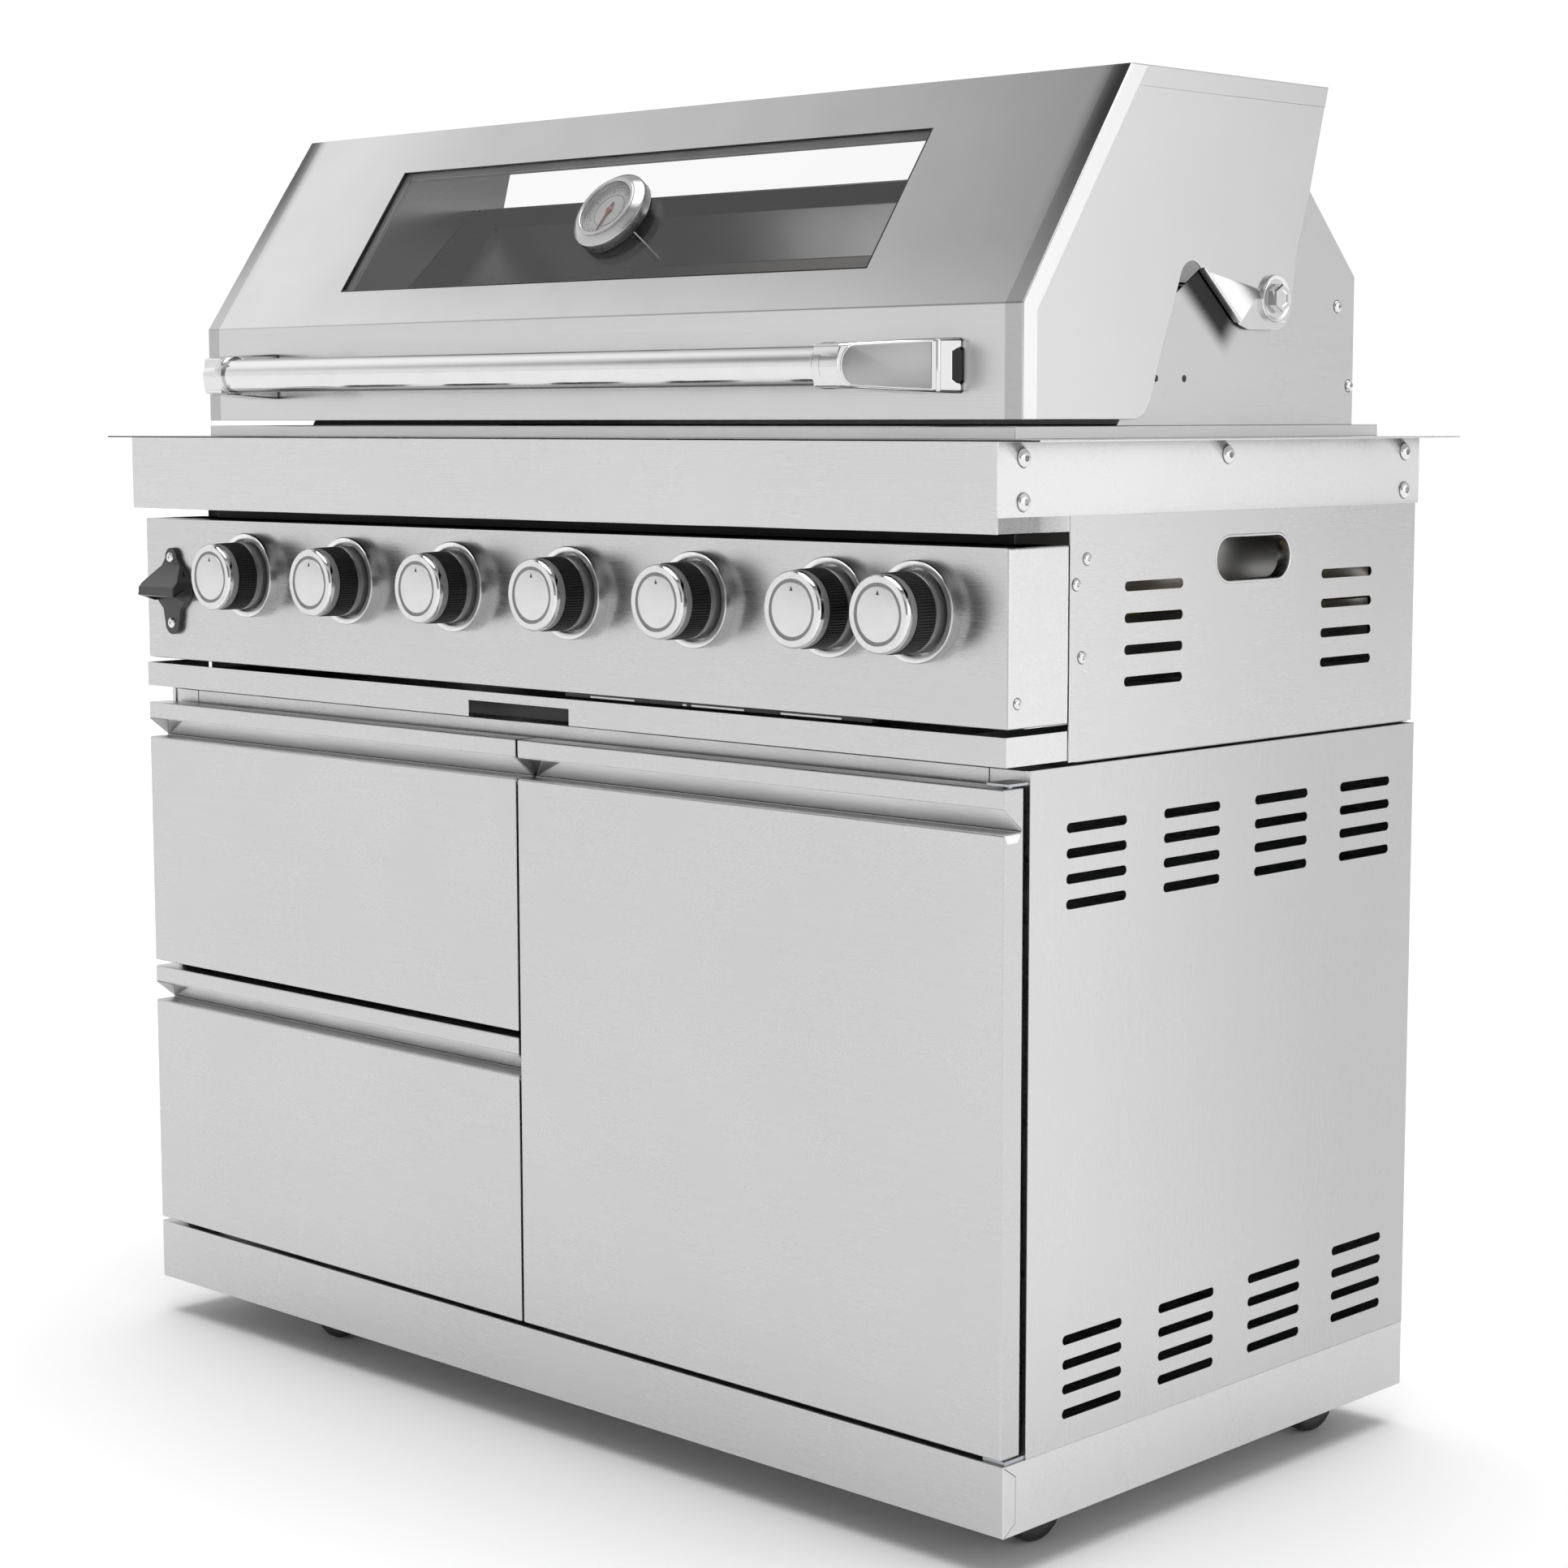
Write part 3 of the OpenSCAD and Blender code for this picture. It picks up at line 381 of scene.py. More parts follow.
def skin(bm, rings, closed=True):
    """Joins rings of equally many points with quads, and the last ring to the first if closed."""
    for a, b in zip(rings, rings[1:] + (rings[:1] if closed else [])):
        for i in range(len(a)):
            j = (i + 1) % len(a)
            bm.faces.new((a[i], a[j], b[j], b[i]))


def circle(bm, radius, height, count):
    """Points round Z; radius is a number or a function of the angle."""
    reach = radius if callable(radius) else lambda a: radius
    return [bm.verts.new((reach(a) * math.cos(a), reach(a) * math.sin(a), height))
            for a in (2 * math.pi * i / count for i in range(count))]


def lathe(bm, profile, segments):
    """Spins (radius, height) points about Z: a solid if the profile starts on the axis, or else a ring."""
    closed = profile[0][0] > 0
    rings = [circle(bm, r, h, segments) if r > 1e-6 else [bm.verts.new((0, 0, h))] for r, h in profile]
    for a, b in zip(rings, rings[1:] + (rings[:1] if closed else [])):
        for i in range(segments):
            j = (i + 1) % segments
            if len(a) == 1:
                bm.faces.new((a[0], b[j], b[i]))
            elif len(b) == 1:
                bm.faces.new((a[i], a[j], b[0]))
            else:
                bm.faces.new((a[i], a[j], b[j], b[i]))


def spin(name, profile, segments, mat, body, replaces=(), place=None, smooth=35.0):
    """A piece turned about its own Z axis."""
    bm = bmesh.new()
    lathe(bm, profile, segments)
    return add_object(name, bm, mat, body, replaces, place, smooth)


def extrude(name, outline, ends, axis, soft, segments, mat, body, place=None):
    """A piece drawn out along an axis between two ends."""
    bm = bmesh.new()
    prism(bm, outline, *ends, axis, soft, segments)
    return add_object(name, bm, mat, body, (), place, 30)


def add_block(name, corners, soft, segments, mat, body, place=None, smooth=30):
    bm = bmesh.new()
    block(bm, *corners, soft, segments)
    return add_object(name, bm, mat, body, (), place, smooth)


def oval(length, height, steps=16):
    """Outline of a slot with round ends, centred on the origin."""
    r = height / 2
    straight = length / 2 - r
    points = []
    for side in (1, -1):
        for k in range(steps + 1):
            a = math.radians(-90 + 180 * k / steps)
            points.append((side * (straight + r * math.cos(a)), side * r * math.sin(a)))
    return points


def rounded(node, mat, bend, edge=0.45, flat=4.0):
    """The CAD node's own shape with its folds and cut edges rounded: wide folds by bend, thin edges by edge."""
    bm = bmesh.new()
    bm.from_mesh(frame["nodes"][node].data)
    bmesh.ops.remove_doubles(bm, verts=bm.verts, dist=3e-6)
    bmesh.ops.dissolve_limit(bm, angle_limit=math.radians(0.5), verts=bm.verts, edges=bm.edges)
    weight = bm.edges.layers.float.new("bevel_weight_edge")
    for e in bm.edges:
        if len(e.link_faces) != 2 or e.calc_face_angle(0) < math.radians(28) or not e.is_convex:
            continue
        wide = min(2 * f.calc_area() / f.calc_perimeter() for f in e.link_faces) / MM > flat
        wide = wide and e.calc_length() / MM > 3 * bend
        e[weight] = 1.0 if wide else edge / bend
    mesh = bpy.data.meshes.new(node + "_look")
    bm.to_mesh(mesh)
    bm.free()
    mesh.materials.clear()
    obj = add_mesh(node + "_look", mesh, mat, BODY_OF[node], (node,), None, 28)
    modifier = obj.modifiers.new("folds", "BEVEL")
    modifier.width = bend * MM
    modifier.segments = 3
    modifier.limit_method = "WEIGHT"
    modifier.harden_normals = True
    modifier.use_clamp_overlap = False
    modifier.miter_outer = "MITER_ARC"
    return obj


# ------------------------------------------------------------------ places from the frame

front_y = span("control_panel")[0].y
panel_bottom = span("control_panel")[0].z
tube_low, tube_high = span("handle_tube")
handle_y, handle_z = (tube_low.y + tube_high.y) / 2, (tube_low.z + tube_high.z) / 2
lid_low, lid_high = span("lid_shell")
lid_front, lid_bottom, lid_top = lid_low.y, lid_low.z, lid_high.z
body_low, body_high = span("body_right_side")
housing_side = span("rear_housing")[1].x
joint_at = {j["name"]: Vector(j["pos_m"]) / MM for j in frame["joints"] if "pos_m" in j}
joint_axis = {j["name"]: Vector(j["axis"]) for j in frame["joints"]}

# The lid's slope, seen from the thermometer in its middle: X across, Y up the slope, Z out of it.
slope_out = joint_axis["needle_turn"].normalized()
slope_place = Matrix.Translation((joint_at["needle_turn"] - slope_out * 9) * MM) @ Matrix(
    ((1, 0, 0, 0), (0, slope_out.z, slope_out.y, 0), (0, -slope_out.y, slope_out.z, 0), (0, 0, 0, 1)))

# Painted shade: dark lines along the upper and lower edges of the handle brackets, in place of dark reflections.
for way in (1, -1):
    middle_m = way * handle_z * MM
    darken(ARM, grey(0.2), ((0, 0, way), middle_m + 0.0196, middle_m + 0.0208))


def depth(d):
    """A place behind the control panel's face."""
    return front_y + d


def ends_at(side, inner, outer):
    """A run between two distances from the middle, to one side, in rising order."""
    return sorted((side * inner, side * outer))


# ------------------------------------------------------------------ cabinet and head sheets

for node, mat, bend in (
        ("plinth", STEEL_X, 1.4), ("cabinet_left_side", STEEL_Z, 1.2), ("cabinet_right_side", STEEL_Z, 1.2),
        ("cabinet_top_rail", STEEL_X, 1.2), ("cabinet_back", STEEL_X, 1.0), ("cabinet_floor", STEEL_X, 1.0),
        ("cabinet_divider", STEEL_Y, 1.0), ("body_left_side", STEEL_Y, 1.0), ("body_right_side", STEEL_Y, 1.0),
        ("body_back", STEEL_X, 1.0), ("control_panel", STEEL_X, 2.2), ("trim_collar", COLLAR, 1.3),
        ("firebox", FIREBOX, 1.3), ("rear_housing", HOUSING, 1.3), ("drip_rails", ZINC, 1.0),
        ("upper_drawer_front", STEEL_X, 1.5), ("lower_drawer_front", STEEL_X, 1.5),
        ("cabinet_door", STEEL_X, 1.5), ("upper_drawer_box", ZINC, 1.2), ("lower_drawer_box", ZINC, 1.2),
        ("drip_drawer_front", STEEL_X, 1.3), ("drip_tray", ZINC, 1.2), ("lid_shell", LID, 1.3),
        ("window_frame", FRAME, 1.0), ("handle_brackets", ARM, 2.6), ("bottle_opener", CAST, 1.6),
        ("door_hinge_pins", ZINC, 0.8), ("drawer_runners", ZINC, 1.0), ("caster_plates", ZINC, 1.0),
        ("heat_tents", HEAT, 0.8), ("rear_burner", HEAT, 1.2), ("cooking_grates", IRON, 1.2),
        ("caster_fork_1", ZINC, 0.8), ("caster_fork_2", ZINC, 0.8), ("caster_fork_3", ZINC, 0.8),
        ("caster_fork_4", ZINC, 0.8)):
    rounded(node, mat, bend)

for node, mat in (("gas_manifold", BRASS), ("gas_valves", BRASS), ("warming_rack", CHROME),
                  ("igniter_housing", CHROME), ("window_glass", PANE), ("main_burners", HEAT)):
    data = frame["nodes"][node].data
    data.materials.clear()
    data.materials.append(mat)


# ------------------------------------------------------------------ knobs and bezels

RIBS = 84
RIB_OUTLINE = ((0.0, 32.6), (0.28, 33.7), (0.62, 33.7), (0.9, 32.6))  # share of a rib, radius

knob_low, knob_high = span("knob_1")
knob_z = (knob_low.z + knob_high.z) / 2
knob_names = [n for n in BODIES if n.startswith("knob_")] + ["rear_burner_knob"]


def knob_parts(top):
    """Meshes of one knob about local +Z, which points out of the panel; top is how far it stands out."""
    made = []
    for name, mat, slot, profile in (
            ("skirt", SMOKED, "black_plastic",
             [(0, 4.6), (33.6, 4.6), (34.0, 5.4), (34.0, 20.4), (33.4, 21.2), (0, 21.2)]),
            ("band", GREY, "chrome",
             [(0, top - 13), (31.6, top - 13), (32.3, top - 12.4), (32.4, top - 11.8), (32.4, top - 6.6),
              (32.0, top - 6.2), (0, top - 6.2)]),
            ("rim", CHROME, "chrome",
             [(25.8, top - 6.4), (32.1, top - 6.4), (32.5, top - 5.9), (32.5, top - 2.6), (32.3, top - 1.8),
              (31.2, top - 0.5), (30.9, top - 0.2), (25.8, top - 0.2)]),
            ("rim_face", DISC_RIM, "chrome",
             [(25.6, top - 0.9), (30.9, top - 0.9), (30.9, top - 0.25), (30.6, top), (26.1, top),
              (25.7, top - 0.3)]),
            ("well", GREY, "black_plastic",
             [(0, top - 6), (25.7, top - 6), (25.7, top - 0.9), (22.9, top - 0.9), (0, top - 0.9)]),
            ("disc", DISC, "chrome",
             [(0, top - 4), (22.7, top - 4), (22.8, top - 0.8), (22.5, top - 0.3), (22.0, top - 0.1),
              (0, top - 0.1)])):
        bm = bmesh.new()
        lathe(bm, profile, 72)
        made.append((name, to_mesh("knob_" + name, bm), mat, slot))
    ribbed = [(r, 2 * math.pi * (i + share) / RIBS) for i in range(RIBS) for share, r in RIB_OUTLINE]
    grip = bmesh.new()
    loft(grip, *([(taper * r * math.cos(a), taper * r * math.sin(a), height) for r, a in ribbed]
                 for taper, height in ((1, 21.0), (0.985, top - 12.6))))
    made.append(("grip", to_mesh("knob_grip", grip), GRIP, "black_plastic"))
    mark = bmesh.new()
    prism(mark, [(-1.7, 15.6), (1.7, 15.6), (0, 19.8)], top - 0.15, top, "z")
    made.append(("mark", to_mesh("knob_mark", mark), INK, "black_plastic"))
    return made


bezel_low, bezel_high = span("knob_bezels")
r, h = (bezel_high.z - bezel_low.z) / 2, front_y - bezel_low.y
bezel, ring = bmesh.new(), bmesh.new()
lathe(bezel, [(r - 5.8, 0), (r, 0), (r, h - 1.4), (r - 0.3, h - 0.7), (r - 0.6, h - 0.35),
              (r - 5.8, h - 0.35)], 96)
lathe(ring, [(r - 6, 2), (r - 5, 2), (r - 1.0, h - 0.8), (r - 0.7, h - 0.3), (r - 1.0, h), (r - 5.2, h),
             (r - 5.8, h - 0.5), (r - 6, h - 1.2)], 96)
bezel_mesh, ring_mesh = to_mesh("bezel", bezel), to_mesh("bezel_ring", ring)

knob_meshes = knob_parts(front_y - knob_low.y)
for name in knob_names:
    low, high = span(name)
    place = facing((low.x + high.x) / 2, front_y, knob_z, "-y")
    stands_for = ("knob_bezels",) if name == knob_names[0] else ()
    for part, mesh, mat, slot in knob_meshes:
        add_mesh(f"{name}_{part}", mesh, mat, name, (name,) if part == "skirt" else (), place, 30)
    add_mesh(f"bezel_{name}", bezel_mesh, BEZEL_SIDE, "frame", stands_for, place, 40)
    add_mesh(f"bezel_ring_{name}", ring_mesh, BEZEL_FACE, "frame", (), place, 40)


# ------------------------------------------------------------------ handle

COLLAR_X = 403.7  # inner end of the collar on each end of the tube
ARM_START, ARM_END = Vector((434.6, handle_y - 16.8)), Vector((490.0, lid_front))
arm_run = (ARM_END - ARM_START).normalized()

radius = (tube_high.z - tube_low.z) / 2
reach = tube_high.x - 6
spin("handle_tube_look",
     [(0, -reach), (radius, -reach), (radius, -reach / 2), (radius, 0), (radius, reach / 2), (radius, reach),
      (0, reach)], 96, TUBE, "lid", ("handle_tube",), facing(0, handle_y, handle_z, "+x"), 40)


def on_arm(side):
    """Local X runs back along the arm's slanted outer face, Y is up and Z points out of it."""
    x = (arm_run.x * side, arm_run.y, 0)
    z = (arm_run.y * side, -arm_run.x, 0)
    start = Vector((ARM_START.x * side, ARM_START.y, handle_z)) * MM
    return Matrix(((x[0], 0, z[0], start.x), (x[1], 0, z[1], start.y), (x[2], 1, z[2], start.z), (0, 0, 0, 1)))


def tongue(grow):
    """Outline of the inset: a tongue with a round end towards the tube."""
    points = [(80 + grow, -19.6 - grow), (80 + grow, 19.6 + grow)]
    for k in range(17):
        a = math.radians(90 + 180 * k / 16)
        points.append((14 + (11.5 + grow) * math.cos(a), (16.3 + grow) * math.sin(a)))
    return points


for side, axis, tag in SIDES:
    spin(f"handle_collar_{tag}",
         [(16.6, 0), (18.6, 0), (19.2, 0.6), (19.25, 2.6), (18.7, 3.2), (18.7, 3.9), (19.25, 4.5), (19.25, 11),
          (16.6, 11)], 96, SLEEVE, "lid", (), facing(side * COLLAR_X, handle_y, handle_z, axis), 40)
    place = on_arm(side)
    extrude(f"handle_inset_{tag}", tongue(-0.9), (-1.0, 0.55), "z", 0.35, 2, SATIN, "lid", place)
    bead = bmesh.new()
    skin(bead, [[bead.verts.new((x, y, height)) for x, y in tongue(grow)] for grow, height in
                ((1.0, -0.6), (1.0, 0.5), (0.6, 1.0), (-0.2, 1.0), (-0.6, 0.5), (-0.6, -0.6))])
    add_object(f"handle_bead_{tag}", bead, CHROME, "lid", (), place, 40)
    add_block(f"handle_ridge_{tag}", (83.5, 87.5, -21.5, 21.5, -0.8, 0.9), 0.7, 3, CHROME, "lid",
              place, 40)
    extrude(f"handle_socket_{tag}",
            [(98.0, -11.0), (101.5, -14.2), (104.0, -14.2), (106.4, -11.5), (106.4, 11.5), (104.0, 14.2),
             (101.5, 14.2), (98.0, 11.0)], (-3, 0.25), "z", 0, 2, GASKET, "lid", place)


# ------------------------------------------------------------------ lid ends

STRIP = 18.0  # width of the folded strip along the lid's front edges
SHEET_HALF = 553.0
slope_low, slope_high = Vector((lid_front, lid_bottom + 94.5)), Vector((lid_front + 140, lid_top))
run = (slope_high - slope_low).normalized()
corner = Vector((slope_low.x + STRIP, slope_low.y - STRIP * math.tan(math.atan2(run.x, run.y) / 2)))
strip_outline = [(lid_front + 0.5, lid_bottom + 0.5), (lid_front + STRIP, lid_bottom + 0.5), tuple(corner),
                 tuple(corner + run * ((lid_top - 1 - corner.y) / run.y)), (slope_high.x - 0.6, lid_top - 1),
                 (slope_low.x + 0.5, slope_low.y)]
hem_top, hem_foot = Vector((depth(299.3), lid_bottom + 129.8)), Vector((depth(354.4), lid_bottom + 83.8))
way = (hem_foot - hem_top).normalized()
off = Vector((way.y, -way.x))
hem_outline = [tuple(v) for v in (
    hem_top - off + way * 1.5, hem_top + way * 0.3, hem_top + off + way * 1.5, hem_foot + off - way * 1.5,
    hem_foot - way * 0.3, hem_foot - off - way * 1.5)]
for side, axis, tag in SIDES:
    extrude(f"lid_edge_strip_{tag}", strip_outline, ends_at(side, SHEET_HALF - 0.2, SHEET_HALF + 0.75), "x", 0.25,
            1, EDGE, "lid")
    extrude(f"lid_hem_{tag}", hem_outline, ends_at(side, SHEET_HALF - 3.2, SHEET_HALF + 4.0), "x", 0.5, 2, EDGE,
            "lid")


# ------------------------------------------------------------------ finger pulls of the drawers and the door

PULL_LIP, PULL_APEX, PULL_FLOOR, PULL_DEEP = 16.0, 34.5, 37.0, 22.5  # down from a front's top edge, and back

for node in ("upper_drawer_front", "lower_drawer_front", "cabinet_door"):
    low, high = span(node)
    body = BODY_OF[node]
    # Two triangles laid on the slanted face at the left end of the pull, darker than the face: painted shade.
    x0, front, top = low.x + 0.4, low.y + 0.5, high.z - PULL_LIP - 0.6
    for name, start, end, tip, mat in (("near", 0, 34.0, 1.5, SHADED_FLAP), ("far", 35.2, 58.0, 2.6, SATIN)):
        corners = [Vector((x0 + start, front, top)), Vector((x0 + end, front, top)),
                   Vector((x0 + tip, front + 22.0, high.z - PULL_APEX))]
        bm = bmesh.new()
        loft(bm, *([c + Vector((0, y, z)) for c in corners] for y, z in ((-0.70, -0.90), (-0.35, -0.50))))
        add_object(f"{node}_flap_{name}", bm, mat, body, (), None, 30)
    # The satin sheet folded under the pull, the darker foot of its groove, and a black step along the crease
    # between them, which is painted shade.
    step_top, step_foot, step_front = PULL_APEX + 0.6, PULL_APEX + 1.3, PULL_DEEP - 0.35
    for name, mat, outline in (
            ("face", PULL, [(0.35, PULL_LIP + 0.2), (PULL_DEEP, PULL_APEX), (PULL_DEEP, PULL_APEX + 0.7),
                            (0.2, PULL_LIP + 0.8)]),
            ("step", GRIP, [(step_front, step_top), (PULL_DEEP, step_top), (PULL_DEEP, step_foot),
                            (step_front, step_foot)]),
            ("foot", PULL_FOOT, [(1.6, PULL_FLOOR), (1.6, PULL_FLOOR - 0.3), (PULL_DEEP - 0.4, PULL_FLOOR - 0.3),
                                 (PULL_DEEP - 0.4, PULL_FLOOR)])):
        extrude(f"{node}_pull_{name}", [(low.y + y, high.z - z) for y, z in outline],
                (low.x + 1.2, high.x - 1.2), "x", 0, 2, mat, body)
    # A tab folded over the right end of the groove.
    top = high.z - PULL_FLOOR
    extrude(f"{node}_tab", [(low.y + 1.0, top - 0.4), (low.y + 4.2, top - 7.4), (low.y + 17, top - 7.4),
                            (low.y + 21, top - 0.4)],
            (high.x - 0.4, high.x + 0.3), "x", 0.12, 1, EDGE, body)


# ------------------------------------------------------------------ seams, painted shade sheets and painted glints

RAIL_JOINT_X = 545
plinth_low, plinth_high = span("plinth")
rail_low, rail_high = span("cabinet_top_rail")
for side, axis, tag in SIDES:
    # The plinth's front is folded round its corner, and ends in a mitred flap.
    for name, mat, stands, soft, grow in (("flap", STEEL_X, 0.3, 0.12, 0), ("seam", INK, 0.12, 0, 0.5)):
        near, far = plinth_low.y + 0.6 + 1.2 * grow, plinth_low.y + 15 + grow
        top, foot = plinth_high.z - 1 + 0.8 * grow, plinth_low.z + 1 - 0.8 * grow
        extrude(f"plinth_{name}_{tag}",
                [(near, top), (far, plinth_high.z - 11 + 0.8 * grow), (far, plinth_low.z + 10.5 - 0.8 * grow),
                 (near, foot)], ends_at(side, plinth_high.x - 0.4, plinth_high.x + stands), "x", soft, 1, mat,
                "frame")
    add_block(f"rail_joint_{tag}",
              (side * RAIL_JOINT_X - 0.5, side * RAIL_JOINT_X + 0.5, rail_low.y - 0.15, rail_low.y + 1,
               rail_low.z + 0.3, rail_high.z - 0.3), 0, 2, INK, "frame")

# Painted shade: a black sheet closes the view through the drip drawer's finger cut-out.
tray_low, tray_high = span("drip_tray")
add_block("pull_cutout_shade", (-170, 82, tray_low.y - 4.5, tray_low.y - 0.3, tray_low.z + 0.3, tray_high.z + 0.5),
          0.4, 2, GASKET, "drip_drawer")

# Painted shade: a black bar fills the gap under the control panel.
add_block("gap_shade_bar", (60, 440, depth(3.5), depth(10), panel_bottom - 3.6, panel_bottom + 0.5), 0.4, 2, GRIP,
          "frame")
# Painted highlights: pale slips in that gap stand in for glints of light seen through it.
for index, (x0, x1) in enumerate(((94, 152), (214, 219), (225, 290), (334, 405))):
    add_block(f"painted_glint_slot_{index}", (x0, x1, depth(3.2), depth(4), panel_bottom - 3.1, panel_bottom - 1.4),
              0.15, 1, GLINT, "frame")


# ------------------------------------------------------------------ thermometer

DIAL_Z = 8.6  # the dial's face above the lid's slope
TICKS, TICK_START, TICK_STEP = 31, 260, 10.33
NEEDLE_TURN = math.radians(262)

spin("thermometer_case_look",
     [(0, -1.4), (41.4, -1.4), (42.0, -0.8), (42.0, 8.4), (41.7, 9.1), (40.9, 9.9), (34.8, 14.4), (34.0, 14.7),
      (33.6, 14.7), (33.4, 15.2), (32.8, 15.5), (30.2, 15.5), (29.5, 15.1), (29.2, 14.3), (29.0, 8.2), (0, 8.2)],
     128, TURNED, "lid", ("thermometer_case",), slope_place, 25)
spin("thermometer_stem", [(0, -70), (1.6, -69.6), (3.0, -67), (3.0, -17), (6.0, -16.8), (6.0, -1), (0, -1)],
     32, SATIN_CHROME, "lid", (), slope_place)
spin("thermometer_nut", [(6.0, -16), (11.4, -16), (12.0, -15), (12.0, -7), (11.4, -6), (6.0, -6)],
     6, ZINC, "lid", (), slope_place, 20)
spin("dial_face", [(0, 8.1), (28.9, 8.1), (28.9, DIAL_Z), (0, DIAL_Z)], 96, DIAL, "lid", (), slope_place)


def turn_flat(verts, angle):
    """Turns points about Z."""
    for v in verts:
        v.co.x, v.co.y = (v.co.x * math.cos(angle) - v.co.y * math.sin(angle),
                          v.co.x * math.sin(angle) + v.co.y * math.cos(angle))


ticks = bmesh.new()
for i in range(TICKS):
    start, half = (20.5, 0.35) if i % 5 == 0 else (22.5, 0.2)
    block(ticks, start, 25.5, -half, half, DIAL_Z, DIAL_Z + 0.15)
    turn_flat(ticks.verts[-8:], math.radians(TICK_START - TICK_STEP * i))
for r in (17.6, 26.6):
    lathe(ticks, [(r, DIAL_Z), (r + 0.5, DIAL_Z), (r + 0.5, DIAL_Z + 0.12), (r, DIAL_Z + 0.12)], 72)
add_object("dial_marks", ticks, INK, "lid", (), slope_place, 30)
needle = bmesh.new()
prism(needle, [(-9, -1.3), (-9, 1.3), (0, 1.9), (23.6, 0.3), (23.6, -0.3), (0, -1.9)], 9.3, 9.9, "z")
turn_flat(needle.verts, NEEDLE_TURN)
lathe(needle, [(0, 8.8), (3.4, 8.8), (3.6, 10.0), (2.6, 10.8), (0, 11.0)], 32)
add_object("thermometer_needle_look", needle, RED, "needle", ("thermometer_needle",), slope_place,
           30)
spin("thermometer_lens", [(0, 15.4), (16, 15.2), (26, 14.8), (29.1, 14.3), (29.1, 13.9), (26, 14.3), (16, 14.7),
                          (0, 14.9)], 72, LENS, "lid", (), slope_place, 40)


# ------------------------------------------------------------------ window gasket

WINDOW_X, WINDOW_Y, GASKET_W = 360.0, 75.0, 1.1
gasket = bmesh.new()
for side, axis, tag in SIDES:
    block(gasket, *ends_at(side, WINDOW_X - GASKET_W, WINDOW_X), -WINDOW_Y, WINDOW_Y, -1.6, 0.4, 0.3)
for side, axis, tag in SIDES:
    block(gasket, -WINDOW_X, WINDOW_X, *ends_at(side, WINDOW_Y - GASKET_W, WINDOW_Y), -1.6, 0.4, 0.3)
add_object("window_gasket", gasket, GASKET, "lid", (), slope_place)


# ------------------------------------------------------------------ screws and bolts

def screw_mesh(radius, drive):
    """A domed head about +Z, with a hexagon socket or a cross recess."""
    socket, step = 0.42 * radius, math.pi / 3

    def recess(a):
        if drive == "hex":
            return socket * math.cos(step / 2) / math.cos((a % step) - step / 2)
        return socket * (0.35 + 0.65 * abs(math.cos(2 * a)) ** 6)

    bm = bmesh.new()
    rings = [circle(bm, radius * q, radius * height, 48) for q, height in
             ((1, 0), (1, 0.14), (0.93, 0.27), (0.78, 0.38), (0.6, 0.45), (0.5, 0.475))]
    rings += [circle(bm, recess, radius * height, 48) for height in (0.475, 0.2)]
    skin(bm, rings, False)
    bm.faces.new(rings[-1])
    bm.faces.new(list(reversed(rings[0])))
    return to_mesh(f"screw_{drive}_{radius}", bm)


HALF_W = 590.0
deck_top = span("trim_collar")[1].z
opener_low, opener_high = span("bottle_opener")
opener_x = (opener_low.x + opener_high.x) / 2
hex_big, hex_small = screw_mesh(7.5, "hex"), screw_mesh(5.0, "hex")
cross_mid, cross_small = screw_mesh(5.5, "cross"), screw_mesh(4.5, "cross")
screws = []
for side, axis, tag in SIDES:
    for d, z in ((17.3, -14.5), (17.3, -49.6), (291.5, -14.5), (565, -14.5), (565, -49.6)):
        screws.append((hex_big, side * HALF_W, depth(d), deck_top + z, axis))
    for d, z in ((101, 166), (87, 145.5), (95, 85.5)):
        screws.append((hex_small, side * body_high.x, depth(d), body_low.z + z, axis))
    screws.append((cross_small, side * (HALF_W - 0.5), depth(11.8), panel_bottom + 21, axis))
    for d, z in ((513, 101.5), (533.5, 30)):
        screws.append((cross_mid, side * housing_side, depth(d), lid_bottom + z, axis))
for z in (opener_low.z + 12, opener_high.z - 10):
    screws.append((cross_mid, opener_x, depth(-5), z, "-y"))
for index, (mesh, x, y, z, axis) in enumerate(screws):
    size = mesh.vertices[0].co.x / MM
    place = facing(x, y, z, axis)
    # Painted shadow: a dark ring round the foot of each screw head.
    spin(f"screw_shadow_{index}", [(size - 0.4, 0), (size + 0.55, 0), (size + 0.55, 0.12), (size - 0.4, 0.12)],
         32, SHADOW, "frame", (), place, 30)
    add_mesh(f"screw_{index}", mesh, CHROME, "frame", ("trim_screws",) if index == 0 else (), place, 30)

